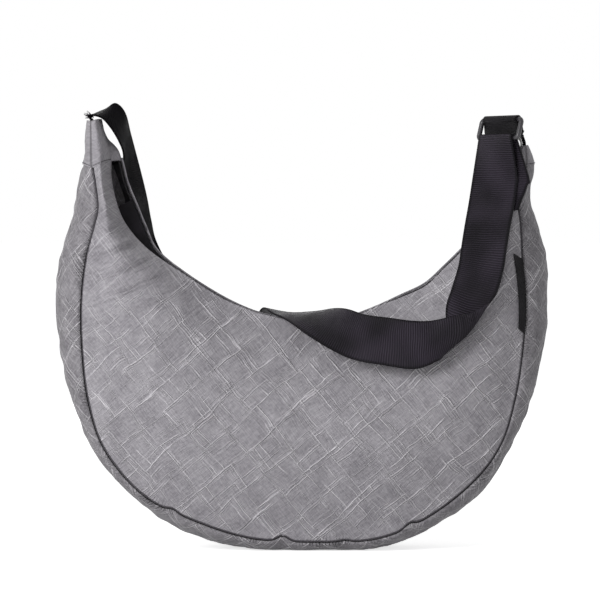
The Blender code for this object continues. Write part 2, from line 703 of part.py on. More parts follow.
def bar_direction():
    """Along the ring's bars, from the end nearer the back to the end nearer the front."""
    sway = math.radians(90 - RING_SWAY)
    return np.array([math.cos(sway), -math.sin(sway), 0.0])


def ring_axes():
    """The ring's own axes: along its bars, out of its plane to the front, and up in its plane."""
    along = bar_direction()
    out = np.array([along[1], -along[0], 0.0])
    lean = math.radians(RING_LEAN)
    up = np.array([0.0, 0.0, 1.0]) * math.cos(lean) - out * math.sin(lean)
    return along, unit(np.cross(along, up)), up


def lower_bar():
    return from_shares(RING_CENTRE_SHARES) - ring_axes()[2] * RING_DROP


def make_ring(parts):
    along, _, up = ring_axes()
    top = from_shares(RING_CENTRE_SHARES)
    half = (RING_INNER + RING_WIRE) / 2
    corners = [(half, 0.0), (half, -RING_DROP), (-half, -RING_DROP), (-half, 0.0)]
    path = []
    for index, (x, z) in enumerate(corners):
        centre = np.array([x - math.copysign(RING_CORNER, x), z + (RING_CORNER if z else -RING_CORNER)])
        for step in range(5):
            turn = math.radians(90 - 90 * index - 22.5 * step)
            local = centre + RING_CORNER * np.array([math.cos(turn), math.sin(turn)])
            path.append(along * local[0] + up * local[1])
    obj = tube("strap_ring", path, RING_WIRE / 2, "ring", parts, closed=True)
    obj.location = top


def across_rows(low, high, bow, width):
    """Three points across a band at each row, drawn in or out to its true width."""
    middle = (low + high) / 2 + bow
    reach = np.linalg.norm(low - middle, axis=1) + np.linalg.norm(high - middle, axis=1)
    scale = (width / reach)[:, None]
    return np.stack([middle + (low - middle) * scale, middle, middle + (high - middle) * scale], axis=1)


def bar_tack(name, across, lift, parts):
    """A short dense row of stitches that crosses a band."""
    ends = (BARTACK_MARGIN_SHARE, 1 - BARTACK_MARGIN_SHARE)
    path = [mix(across[0], across[2], part) + lift for part in np.linspace(*ends, 5)]
    tube(name, path, BARTACK, "thread", parts, sides=1)


def make_strap(parts):
    shares = np.array(STRAP_SHARES)
    edges = [from_shares(shares[:, column]) for column in range(3)]
    rows = across_rows(*edges, STRAP_WIDTH)
    free = smooth_rows(rows, np.linspace(0, len(rows) - 1, 3 * len(rows)))
    along, out, _ = ring_axes()
    bar = lower_bar()
    radius = RING_WIRE / 2 + GAP + STRAP / 2
    halves = np.array([-1.0, 0.0, 1.0])[:, None] * along * STRAP_WIDTH / 2
    drop = unit(free[-1, 1] - bar)
    front = unit(np.cross(along, drop))
    if np.dot(front, out) < 0:
        front = -front
    wrap = [
        bar + radius * (front * math.cos(turn) - drop * math.sin(turn)) + halves
        for turn in np.radians(np.linspace(0, 180, 9))
    ]
    lead = mix(free[-1], wrap[0], 0.45)
    whole = [*free, lead, *wrap]
    front_run = np.array(whole[: -len(wrap)])[::-1]
    distance = np.concatenate([[0.0], np.cumsum(np.linalg.norm(np.diff(front_run[:, 1], axis=0), axis=1))])
    behind = front_run[distance < STRAP_DOUBLED]
    across = unit(behind[:, 2] - behind[:, 0])
    normals = unit(np.cross(np.gradient(behind[:, 1], axis=0), across))
    if np.dot(normals[0], front) > 0:
        normals = -normals
    spread = 2 * radius * (1 - ease(distance[: len(behind)], 0.0, STRAP_DOUBLED / 2))
    lift = np.maximum(spread, STRAP + 2 * GAP)
    stray = FOLD_STRAY * ease(distance[: len(behind)], 0.0, STRAP_DOUBLED / 2)
    aside = normals * lift[:, None] + across * stray[:, None]
    back_run = behind + aside[:, None, :]
    grid = np.array(whole + list(back_run[1:]))
    sheet("strap", grid, STRAP, "webbing", parts)
    outside = aside[-1] + normals[-1] * (STRAP / 2 + BARTACK + GAP)
    bar_tack("strap_fold_bartack", behind[-1], outside, parts)


def make_tab(parts):
    """Webbing loop: up from the horn, round the ring's upper bar and back into the horn."""
    along = bar_direction()
    out_of_ring = np.array([along[1], -along[0], 0.0])
    top = from_shares(RING_CENTRE_SHARES)
    foot = from_shares(TAB_FOOT_SHARES)
    waist = from_shares(TAB_MIDDLE_SHARES)
    radius = RING_WIRE / 2 + GAP + TAB / 2
    lean = math.radians(TAB_LEAN)
    neck = top - TAB_NECK * (out_of_ring * math.cos(lean) + np.array([0.0, 0.0, 1.0]) * math.sin(lean))
    centres = smooth_rows([foot, waist, neck], np.linspace(0, 2, 9))
    foot_across = np.array([0.0, -1.0, 0.0])
    acrosses = unit([mix(foot_across, along, ease(part, 0.5, 1.0)) for part in np.linspace(0, 1, 9)])
    down = unit(neck - top)
    face = unit(np.cross(along, down))
    normals = unit(np.cross(np.gradient(centres, axis=0), acrosses))
    if np.dot(normals[-1], face) < 0:
        normals = -normals
    half_gap = mix(TAB / 2 + GAP, radius * 0.7, ease(np.linspace(0, 1, 9), 0.55, 1.0))[:, None]
    halves = np.array([-1.0, 0.0, 1.0])[:, None] / 2
    widths = mix(TAB_FOOT_WIDTH, TAB_WIDTH, ease(np.linspace(0, 1, 9), 0.4, 0.85))

    def leg(sign):
        return [
            centre + normal * sign * gap + halves * across * width
            for centre, normal, across, gap, width in zip(centres, normals, acrosses, half_gap, widths)
        ]

    wrap = [
        top + radius * (face * math.cos(turn) - down * math.sin(turn)) + halves * along * TAB_WIDTH
        for turn in np.radians(np.linspace(-25, 205, 12))
    ]
    grid = np.array(leg(1) + wrap + leg(-1)[::-1])
    sheet("ring_tab", grid, TAB, "webbing", parts)


def main():
    clear_scene()
    parts = make_collection("half_moon_bag")
    cutters = make_collection("cutters", hidden=True)
    make_panels(parts)
    make_gusset(parts)
    make_bindings(parts)
    make_cuff(parts, "left", (SPACING_SHARE, LEFT_CUFF_SHARE))
    make_cuff(parts, "right", (RIGHT_CUFF_SHARE, 1 - SPACING_SHARE))
    make_cuff_thread(parts, "left", LEFT_THREAD_SHARE)
    make_cuff_thread(parts, "right", RIGHT_THREAD_SHARE)
    make_pocket(parts)
    make_label(parts)
    make_zipper_tapes(parts)
    make_chain(parts)
    make_stops(parts)
    make_slider(parts, cutters)
    make_pull(parts, cutters)
    make_ring(parts)
    make_tab(parts)
    make_strap(parts)


main()
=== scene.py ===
"""Half moon bag, dressed: crushed cloth panels and gusset, zipped mouth, webbing strap, ring and tab.

Metres, +Z up, front at -Y, as in the part. u runs along the crescent from the left horn's tip to the
right one's, v from a lip down to the seam, and w round the gusset from the front seam to the back one.
"""
import math

import bpy
import numpy as np
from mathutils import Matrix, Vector, noise


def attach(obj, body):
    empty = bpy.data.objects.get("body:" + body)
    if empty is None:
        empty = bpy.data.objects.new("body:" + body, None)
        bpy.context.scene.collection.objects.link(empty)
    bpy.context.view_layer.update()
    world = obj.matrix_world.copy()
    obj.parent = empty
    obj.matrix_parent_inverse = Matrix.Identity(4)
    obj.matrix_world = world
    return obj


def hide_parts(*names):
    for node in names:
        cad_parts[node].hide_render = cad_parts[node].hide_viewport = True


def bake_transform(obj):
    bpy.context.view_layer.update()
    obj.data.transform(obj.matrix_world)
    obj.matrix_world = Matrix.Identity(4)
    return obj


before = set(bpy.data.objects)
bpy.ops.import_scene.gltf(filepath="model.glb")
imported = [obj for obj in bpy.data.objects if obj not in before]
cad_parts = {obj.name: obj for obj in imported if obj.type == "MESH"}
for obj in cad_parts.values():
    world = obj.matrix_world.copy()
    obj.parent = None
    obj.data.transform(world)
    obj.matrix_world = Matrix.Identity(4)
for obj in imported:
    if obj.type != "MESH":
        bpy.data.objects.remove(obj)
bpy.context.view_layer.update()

# Sizes, the same as the part's
BODY_WIDTH = 0.458
BODY_HEIGHT = 0.404
SEAM_SPREAD = 0.080
PANEL_CROWN = 0.020
BODY_DEPTH = SEAM_SPREAD + 2 * PANEL_CROWN
HORN_DEPTH = 0.058
MOUTH_WIDTH = 0.026
HORN_SLIT = 0.0014
BASE_LIFT_SHARE = 0.004
FABRIC = 0.0012
LINING = 0.0005
GAP = 0.0003
ZIP_RADIUS = 0.2145
ZIP_LEFT_ANGLE, ZIP_RIGHT_ANGLE = 60.0, 54.0
CHAIN_WIDTH, CHAIN_HEIGHT, CHAIN_PARTING = 0.0024, 0.0022, 0.0004
TAPE = 0.0006
LABEL, LABEL_LOW_WIDTH, LABEL_TOP_WIDTH, LABEL_MARGIN = 0.0006, 0.0070, 0.0100, 0.0022
SLIDER_WIDTH, RUNNING_GAP = 0.0090, 0.0004
STRAP_WIDTH, STRAP, STRAP_DOUBLED, FOLD_STRAY = 0.045, 0.0016, 0.048, 0.008
RING_INNER, RING_DROP, RING_WIRE, RING_CORNER = 0.05, 0.018, 0.0046, 0.0035
RING_SWAY, RING_LEAN = 38.0, 16.0
TAB_WIDTH, TAB_FOOT_WIDTH, TAB, TAB_NECK, TAB_LEAN = 0.045, 0.038, 0.0012, 0.0135, 66.0

# Outlines, in thousandths of the sizes above: front lip, back lip, seam and outer edge of each section,
# then the strap's two edges and how far its middle bows out
SECTION_SHARES = np.array([
    ((-407, 991), (-405, 991), (-423, 984), (-433, 988)),
    ((-398, 954), (-394, 949), (-422, 940), (-437, 947)),
    ((-388, 922), (-374, 924), (-421, 906), (-437, 913)),
    ((-386, 894), (-362, 896), (-419, 876), (-442, 887)),
    ((-385, 853), (-351, 846), (-413, 834), (-452, 850)),
    ((-374, 797), (-333, 795), (-409, 786), (-459, 795)),
    ((-354, 747), (-316, 747), (-417, 742), (-467, 745)),
    ((-309, 690), (-291, 689), (-432, 673), (-488, 671)),
    ((-231, 629), (-231, 634), (-442, 577), (-497, 590)),
    ((-161, 579), (-159, 583), (-441, 468), (-487, 468)),
    ((-100, 550), (-100, 552), (-429, 349), (-468, 349)),
    ((-59, 537), (-59, 540), (-396, 236), (-423, 227)),
    ((-26, 530), (-26, 533), (-321, 134), (-347, 131)),
    ((2, 527), (2, 529), (-226, 78), (-242, 43)),
    ((30, 526), (30, 528), (-102, 33), (-108, 6)),
    ((59, 527), (59, 529), (35, 24), (35, 0)),
    ((89, 533), (89, 535), (154, 32), (163, 8)),
    ((122, 544), (122, 547), (252, 79), (270, 52)),
    ((161, 563), (161, 565), (343, 158), (366, 135)),
    ((205, 582), (205, 588), (402, 247), (425, 241)),
    ((252, 607), (252, 614), (433, 365), (472, 362)),
    ((291, 648), (292, 655), (448, 491), (495, 480)),
    ((326, 687), (327, 694), (451, 579), (497, 572)),
    ((360, 728), (362, 734), (445, 669), (497, 659)),
    ((386, 770), (392, 772), (442, 745), (480, 742)),
    ((404, 811), (413, 814), (437, 797), (464, 797)),
    ((417, 848), (427, 850), (441, 841), (463, 841)),
    ((425, 883), (435, 885), (451, 880), (472, 885)),
    ((432, 908), (439, 910), (452, 910), (467, 910)),
    ((437, 926), (441, 929), (451, 929), (459, 931)),
]) / 1000
LEFT_CUFF_SHARE = 3 / 29
RIGHT_CUFF_SHARE = 27 / 29
LABEL_ALONG_SHARES = (0.726, 0.792)
ZIP_CENTRE_SHARES = (0.028, 1.036)
FLAT = (0, 0, 0)
STRAP_SHARES = np.array([
    ((-418, -200, 940), (-418, 200, 940), FLAT),
    ((-421, -200, 976), (-421, 200, 978), FLAT),
    ((-427, -195, 993), (-428, 190, 995), FLAT),
    ((-403, -160, 990), (-398, 180, 1011), FLAT),
    ((-385, -110, 970), (-379, 190, 1022), FLAT),
    ((-369, -50, 940), (-361, 230, 1000), FLAT),
    ((-360, 90, 911), (-352, 370, 950), FLAT),
    ((-360, 250, 862), (-336, 540, 868), FLAT),
    ((-338, 310, 795), (-323, 610, 807), FLAT),
    ((-328, 380, 690), (-314, 610, 748), FLAT),
    ((-314, 480, 618), (-302, 630, 690), FLAT),
    ((-284, 550, 530), (-262, 620, 618), FLAT),
    ((-230, 560, 468), (-206, 600, 568), FLAT),
    ((-168, 540, 444), (-158, 580, 552), FLAT),
    ((-118, 450, 432), (-112, 520, 540), FLAT),
    ((-104, 370, 480), (-60, 570, 536), FLAT),
    ((-78, 140, 547), (-30, 410, 535), FLAT),
    ((-55, -110, 540), (3, 180, 540), FLAT),
    ((-24, -270, 526), (34, -10, 544), FLAT),
    ((12, -390, 500), (66, -180, 549), FLAT),
    ((57, -480, 466), (94, -320, 548), (0, -30, 0)),
    ((104, -540, 437), (130, -420, 541), (0, -40, 0)),
    ((167, -560, 421), (177, -470, 538), (0, -40, 0)),
    ((224, -570, 418), (226, -490, 526), (0, -30, 0)),
    ((262, -590, 436), (266, -430, 521), (3, -40, -1)),
    ((288, -580, 460), (304, -480, 520), (6, -60, -8)),
    ((305, -470, 495), (328, -590, 527), (12, -50, -16)),
    ((311, -440, 545), (352, -570, 546), (14, -30, -14)),
    ((315, -400, 600), (378, -550, 583), (8, -20, -6)),
    ((320, -380, 650), (397, -540, 635), (2, -10, -2)),
    ((322, -360, 690), (408, -520, 690), FLAT),
    ((328, -330, 740), (417, -490, 740), FLAT),
    ((337, -300, 795), (427, -450, 795), FLAT),
    ((347, -260, 850), (431, -420, 850), FLAT),
]) / 1000
RING_CENTRE_SHARES = (0.404, -0.240, 0.983)
TAB_FOOT_SHARES = (0.45, 0.0, 0.895)
TAB_MIDDLE_SHARES = (0.4472, -0.012, 0.941)

# Lip, crown and neck of the crescent, and the pleats of its bottom seam: place across, rise, half width
MOUTH_OPEN_SHARES = (0.24, 0.80)
PANEL_SHARPNESS = (7.0, 2.5)
PANEL_CROWN_GAIN, PANEL_CROWN_POWER = 1.12, 1.2
PLEATS = (
    (-0.017, 0.0052, 0.0070),
    (0.100, 0.0038, 0.0060),
    (-0.118, 0.0028, 0.0060),
    (0.040, 0.0016, 0.0070),
)
PLEAT_REACH, PLEAT_TOP = 0.011, BODY_HEIGHT * 0.25
CREASE_SLANT, CREASE_MIDDLE, CREASE_WIDTH, CREASE_DEPTH = 0.6, 0.012, 0.0022, 0.0016
NECK_MIDDLE, NECK_REACH = (-0.165, 0.262), (0.034, 0.040)
NECK_FOLD, NECK_PITCH, NECK_SLOPE, NECK_WANDER = 0.0016, 0.021, 0.34, 0.004

# Folds of the cloth, each with its height, its size and its place in the noise
BROAD_FOLDS = ((0.0018, 0.060, 0), (0.0009, 0.024, 3))
GUSSET_FOLDS = BROAD_FOLDS + ((0.0012, 0.011, 5),)
CUFF_FOLDS = ((0.0009, 0.014, 0), (0.0004, 0.006, 2))
SEAM_CALM, MOUTH_CALM = 0.012, 0.02
SEAM_DIP, SEAM_DIP_WIDTH = 0.0013, 0.0017
LIP_ROLL, LIP_ROLL_WIDTH = 0.0006, 0.003

# Where the sheets end and lie
LEFT_TUCK, RIGHT_TUCK = 0.003, 0.002
CLOTH_TRIM, LINING_TRIM, GUSSET_LINING_TRIM = 0.0003, 0.012, 0.008
LINING_INSET, GUSSET_LINING_INSET = 0.0034, 0.0040
SEAM_TAPE_INSET, SEAM_TAPE_LIFT, SEAM_TAPE_RADIUS = 0.0016, 0.0014, 0.0008
POCKET_ALONG, POCKET_DOWN = (0.40, 0.60), (0.30, 0.70)
POCKET_INSET, POCKET_HEM_RADIUS = 0.0050, 0.0008
CUFF_LIFT, LABEL_LIFT = 0.0006, 0.0021

# Threads, teeth, and how the bands are divided
STITCH_LENGTH, STITCH_GAP, STITCH_RADIUS, STITCH_SINK, STITCH_LIFT = 0.0022, 0.0012, 0.00036, 0.35, 0.0006
TACK_WIDTH, TACK_RADIUS = 0.0009, 0.00035
FRAYED_SHARES, FRAYED_THREADS = (-0.430, 0.0, 0.994), 46
TOOTH_PITCH, TOOTH_RADIUS, TAPE_WIDTH = 0.0015, 0.00055, 0.018
STRAP_STEPS, STRAP_FINE_STEPS, STRAP_STILL_ROWS = 3, 5, 27
TAB_FLARE = 0.28
UP = np.array([0.0, 0.0, 1.0])
HALVES = np.array([[-0.5], [0.0], [0.5]])

# Creases of the crushed cloth: turn, shift, cell, line width, weight and place of their breaks
CREASES = (
    (40, (0, 0, 0), 0.030, 0.00095, 1.0, 3.1),
    (40, (0.07, 0.06, 0), 0.030, 0.0006, 0.80, 8.4),
    (40, (-0.05, -0.11, 0), 0.030, 0.0006, 0.65, 12.7),
    (-50, (0.35, 0.20, 0), 0.033, 0.0009, 0.95, 5.9),
    (-50, (0.42, 0.27, 0), 0.033, 0.0006, 0.80, 9.2),
    (-50, (0.29, 0.12, 0), 0.033, 0.0006, 0.60, 15.3),
    (43, (3.10, 1.70, 0), 0.058, 0.0011, 1.0, 21.5),
)
CLOTH_RELIEF, WEBBING_RELIEF, WEAVE_RELIEF = 0.00135, 0.00075, 0.00025
NECK_LEVELS = (0.24, 0.31)
PUCKER_REACH, PUCKER_PITCH = 0.011, 0.003
RIB_WANDER, YARN_PITCH = 0.0050, 0.0009
# Where the strap's painted shade gives way along its length, and how far from its middle its edges darken
END_SHADE_FROM_TO, DARK_EDGE = (0.14, 0.40), (0.0190, 0.0212)

# Light and view
SOFT_LIGHT, FLOOR_GLOW, FLOOR_DROP = 0.44, 0.70, 0.0006
LIGHTS = (
    ("key_light", (-0.95, -1.25, 0.75), 0.7, 18.0),
    ("front_light", (-0.35, -2.4, 0.10), 1.2, 11.0),
    ("rear_light", (-0.5, 2.6, 0.4), 1.2, 8.0),
)
LIGHT_AIM = (0, 0, 0.2)
VIEW_CENTRE, VIEW_SPAN, VIEW_DISTANCE, VIEW_ELEVATION = (-0.001, 0.2305), 0.558, 3.2, 1.2
rng = np.random.default_rng(7)


# Curves and surfaces


def smooth_rows(rows, places):
    """Rows of numbers read at fractional places, on a smooth curve through every row."""
    rows = np.asarray(rows, float)
    last = len(rows) - 1
    place = np.clip(np.asarray(places, float), 0.0, last)
    index = np.minimum(place.astype(int), last - 1)
    part = (place - index).reshape((-1,) + (1,) * (rows.ndim - 1))
    before, after = rows[np.maximum(index - 1, 0)], rows[np.minimum(index + 2, last)]
    here, there = rows[index], rows[index + 1]
    leave, arrive = (there - before) / 2, (after - here) / 2
    square, cube = part**2, part**3
    return (
        (2 * cube - 3 * square + 1) * here
        + (cube - 2 * square + part) * leave
        + (3 * square - 2 * cube) * there
        + (cube - square) * arrive
    )


def ease(value, start, end):
    part = np.clip((value - start) / (end - start), 0.0, 1.0)
    return part * part * (3 - 2 * part)


def unit(vectors):
    vectors = np.asarray(vectors, float)
    return vectors / np.maximum(np.linalg.norm(vectors, axis=-1, keepdims=True), 1e-12)


def mix(a, b, part):
    return a + (b - a) * part


def from_shares(shares):
    return np.asarray(shares, float) * (BODY_WIDTH, BODY_DEPTH, BODY_HEIGHT)


def section_points(u):
    places = np.asarray(u, float) * (len(SECTION_SHARES) - 1)
    points = smooth_rows(SECTION_SHARES, places) * (BODY_WIDTH, BODY_HEIGHT)
    points[..., 1] -= BODY_HEIGHT * BASE_LIFT_SHARE
    return points


def fullness(u):
    return np.sin(np.pi * np.clip(u, 0.0, 1.0)) ** 0.9


def seam_half(u):
    return mix(HORN_DEPTH, SEAM_SPREAD, fullness(u)) / 2


def lip_half(u):
    opening, closing = MOUTH_OPEN_SHARES
    left = ease(u, LEFT_CUFF_SHARE * 0.9, opening)
    right = ease(u, closing, 1 - (1 - RIGHT_CUFF_SHARE) * 0.9)
    return mix(HORN_SLIT, MOUTH_WIDTH, left * (1 - right)) / 2


def panel_surface(u, v, side):
    points = section_points(u)
    lip = points[:, 0] if side < 0 else points[:, 1]
    flat = mix(lip, points[:, 2], v[:, None])
    full = fullness(u)
    sharpness = mix(*PANEL_SHARPNESS, full)
    depth = mix(lip_half(u), seam_half(u), 1 - (1 - v) ** sharpness)
    crown = PANEL_CROWN * PANEL_CROWN_GAIN * full
    depth = depth + crown * np.sin(np.pi * np.clip(v, 0, 1)) ** PANEL_CROWN_POWER
    return np.stack([flat[:, 0], side * depth, np.maximum(flat[:, 1], 0.0)], axis=1)


def front_surface(u, v):
    return panel_surface(u, v, -1)


def back_surface(u, v):
    return panel_surface(u, v, 1)


def gusset_surface(u, w):
    points = section_points(u)
    turn = np.pi * w
    flat = mix(points[:, 2], points[:, 3], np.sin(turn)[:, None])
    depth = -seam_half(u) * np.cos(turn)
    return np.stack([flat[:, 0], depth, np.maximum(flat[:, 1], 0.0)], axis=1)


def inner_target(u):
    points = section_points(u)
    middle = (points[:, 0] + points[:, 2]) / 2
    return np.stack([middle[:, 0], np.zeros(len(middle)), middle[:, 1]], axis=1)


def outward_normals(surface, u, across):
    step = 0.001
    along = surface(u + step, across) - surface(u - step, across)
    sideways = surface(u, across + step) - surface(u, across - step)
    normals = unit(np.cross(along, sideways))
    flip = np.sign(np.einsum("ij,ij->i", normals, surface(u, across) - inner_target(u)))
    return normals * flip[:, None]


def waves(points, scale, seed):
    """Smooth noise in -1 to 1 at each point."""
    shift = Vector((seed * 7.31, seed * 3.17, seed * 1.93))
    return np.array([noise.noise(Vector(point) / scale + shift) for point in points])


def summed_waves(points, layers, seed):
    """Smooth noise of several heights and sizes, added up."""
    return sum(height * waves(points, size, seed + place) for height, size, place in layers)


def paired(x, y):
    """Two arrays as one grid of pairs."""
    return np.stack(np.broadcast_arrays(x, y), axis=-1)


# Making pieces


def linked(name, data):
    """A new object in the scene."""
    obj = bpy.data.objects.new(name, data)
    bpy.context.scene.collection.objects.link(obj)
    return obj


def smooth_mesh(name, verts, faces):
    mesh = bpy.data.meshes.new(name)
    mesh.from_pydata(verts, [], faces)
    mesh.shade_smooth()
    return mesh


def grid_mesh(name, grid, uvs, closed=False):
    """A mesh through a grid of points, with UV maps in metres given per point."""
    rows, columns = grid.shape[:2]
    across = np.arange(columns if closed else columns - 1)
    r, c = np.meshgrid(np.arange(rows - 1), across, indexing="ij")
    here, beside = r * columns + c, r * columns + (c + 1) % columns
    faces = np.stack([here, beside, beside + columns, here + columns], axis=-1)
    mesh = smooth_mesh(name, grid.reshape(-1, 3).tolist(), faces.reshape(-1, 4).tolist())
    loops = np.empty(len(mesh.loops), np.int32)
    mesh.loops.foreach_get("vertex_index", loops)
    for label, values in uvs.items():
        layer = mesh.uv_layers.new(name=label)
        layer.data.foreach_set("uv", values.reshape(-1, 2)[loops].astype(np.float32).ravel())
    return mesh


def piece(mesh, material):
    """An object for a mesh, under the mesh's own name."""
    mesh.materials.append(material)
    return linked(mesh.name, mesh)


def solid(obj, thickness, offset):
    modifier = obj.modifiers.new("thickness", "SOLIDIFY")
    modifier.thickness = thickness
    modifier.offset = offset
    modifier.use_quality_normals = True
    return obj


def finish_piece(obj, slot, *nodes, body="bag"):
    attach(obj, body)
    if nodes:
        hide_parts(*nodes)


def face_inward(grid, inside):
    """True if faces made from this grid point towards inside."""
    r, c = grid.shape[0] // 2, grid.shape[1] // 2
    normal = np.cross(grid[r, c + 1] - grid[r, c], grid[r + 1, c] - grid[r, c])
    return np.dot(normal, inside - grid[r, c]) > 0


def running_length(grid):
    """Distance from the first row to each point, along its column."""
    steps = np.linalg.norm(np.diff(grid, axis=0), axis=2)
    return np.concatenate([np.zeros((1, grid.shape[1])), np.cumsum(steps, axis=0)])


def tube_mesh(name, path, radius, sides, closed=False):
    """A tube of given radius, one value or one per point, along a path."""
    path = np.asarray(path, float)
    count = len(path)
    if closed:
        tangent = unit(np.roll(path, -1, axis=0) - np.roll(path, 1, axis=0))
    else:
        tangent = unit(np.gradient(path, axis=0))
    side = np.zeros((count, 3))
    reference = UP if abs(tangent[0][2]) < 0.9 else np.array([0.0, 1.0, 0.0])
    side[0] = unit(np.cross(tangent[0], reference))
    for index in range(1, count):
        side[index] = unit(side[index - 1] - tangent[index] * np.dot(side[index - 1], tangent[index]))
    other = np.cross(tangent, side)
    turns = np.linspace(0, 2 * np.pi, sides, endpoint=False)[None, :, None]
    radii = np.broadcast_to(radius, count)[:, None, None]
    rings = path[:, None] + radii * (side[:, None] * np.cos(turns) + other[:, None] * np.sin(turns))
    faces = []
    for row in range(count if closed else count - 1):
        here, after = row * sides, (row + 1) % count * sides
        for column in range(sides):
            right = (column + 1) % sides
            faces.append((here + column, here + right, after + right, after + column))
    if not closed:
        faces.append(tuple(range(sides))[::-1])
        faces.append(tuple((count - 1) * sides + column for column in range(sides)))
    return smooth_mesh(name, rings.reshape(-1, 3).tolist(), faces)


def joined(name, meshes):
    """One mesh from several."""
    verts, faces = [], []
    for mesh in meshes:
        start = len(verts)
        verts += [tuple(v.co) for v in mesh.vertices]
        faces += [tuple(start + i for i in f.vertices) for f in mesh.polygons]
        bpy.data.meshes.remove(mesh)
    return smooth_mesh(name, verts, faces)


# Materials


class Graph:
    """Short way to write nodes: inputs are numbers, colours or other sockets."""

    def __init__(self, owner):
        self.owner = owner
        owner.use_nodes = True
        self.nodes = owner.node_tree.nodes
        self.links = owner.node_tree.links

    def set(self, socket, value):
        if isinstance(value, bpy.types.NodeSocket):
            self.links.new(value, socket)
        else:
            socket.default_value = value

    def add(self, kind, inputs=None, out=0, **settings):
        node = self.nodes.new(kind)
        for key, value in settings.items():
            setattr(node, key, value)
        for key, value in (inputs or {}).items():
            self.set(node.inputs[key], value)
        return node.outputs[out]

    def math(self, operation, a, b=0.0):
        return self.add("ShaderNodeMath", {0: a, 1: b}, operation=operation)

    def times(self, a, b):
        return self.math("MULTIPLY", a, b)

    def plus(self, a, b):
        return self.math("ADD", a, b)

    def wave(self, value, pitch):
        """A sine that repeats at each pitch."""
        return self.math("SINE", self.times(value, 2 * math.pi / pitch))

    def uv(self, name):
        return self.add("ShaderNodeUVMap", uv_map=name)

    def in_space(self):
        """The place of a point in its object."""
        return self.add("ShaderNodeTexCoord", out=3)

    def split(self, vector):
        """The x and the y of a vector."""
        node = self.add("ShaderNodeSeparateXYZ", {0: vector}).node
        return node.outputs[0], node.outputs[1]

    def mapped(self, vector, turn=0.0, scale=(1, 1, 1), shift=(0, 0, 0)):
        turned = self.add("ShaderNodeMapping", {"Vector": vector, "Rotation": (0, 0, math.radians(turn))})
        return self.add("ShaderNodeMapping", {"Vector": turned, "Scale": scale, "Location": shift})

    def noise(self, vector, scale, detail=2.0, out=0, rough=0.5):
        inputs = {"Vector": vector, "Scale": scale, "Detail": detail, "Roughness": rough}
        return self.add("ShaderNodeTexNoise", inputs, out=out)

    def ramp(self, value, start, end, low=0.0, high=1.0):
        inputs = {0: value, 1: start, 2: end, 3: low, 4: high}
        return self.add("ShaderNodeMapRange", inputs, interpolation_type="SMOOTHSTEP")

    def patches(self, vector, scale, detail, start, end, low=0.0, high=1.0, rough=0.5):
        """Noise made into soft patches between low and high."""
        return self.ramp(self.noise(vector, scale, detail, rough=rough), start, end, low, high)

    def mix_colour(self, part, a, b):
        return self.add("ShaderNodeMix", {0: part, 6: a, 7: b}, out=2, data_type="RGBA")

    def seen_directly(self):
        """1 where the camera or a reflection sees a surface, 0 where it only gives light."""
        rays = self.add("ShaderNodeLightPath").node
        straight = self.math("MAXIMUM", rays.outputs["Is Camera Ray"], rays.outputs["Is Glossy Ray"])
        return self.math("MAXIMUM", straight, rays.outputs["Is Transmission Ray"])

    def shifted(self, vector, amount, scale):
        """The vector moved about by smooth noise."""
        colour = self.noise(vector, scale, out=1)
        centred = self.add("ShaderNodeVectorMath", {0: colour, 1: (0.5, 0.5, 0.5)}, operation="SUBTRACT")
        scaled = self.add("ShaderNodeVectorMath", {0: centred, "Scale": amount}, operation="SCALE")
        return self.add("ShaderNodeVectorMath", {0: vector, 1: scaled}, operation="ADD")

    def bump(self, height, distance):
        return self.add("ShaderNodeBump", {"Height": height, "Distance": distance, "Strength": 1.0})

    def done(self, colour, roughness, normal=None, **more):
        shader = self.nodes["Principled BSDF"]
        inputs = {"Base Color": colour, "Roughness": roughness, **more}
        if normal is not None:
            inputs["Normal"] = normal
        for key, value in inputs.items():
            self.set(shader.inputs[key], value)
        return self.owner


def new_graph(name):
    return Graph(bpy.data.materials.new(name))


def lattice(g, vector, turn, shift, cell, line):
    """Thin creases along the borders of staggered oblong cells, set at one angle."""
    inputs = {
        "Vector": g.mapped(vector, -turn, (1 / cell, 1 / cell, 1), shift),
        "Scale": 1.0,
        "Mortar Size": line / cell,
        "Mortar Smooth": 1.0,
        "Bias": 0.0,
        "Brick Width": 1.15,
        "Row Height": 0.86,
    }
    stagger = {"offset": 0.42, "offset_frequency": 2, "squash": 0.82, "squash_frequency": 3}
    return g.add("ShaderNodeTexBrick", inputs, out=1, **stagger)


def hatch(g, vector, turn, length, width, shift):
    """Fine broken lines that all run at one angle."""
    placed = g.mapped(vector, -turn, (1 / length, 1 / width, 1), shift)
    return g.noise(placed, 1.0, 2.0)


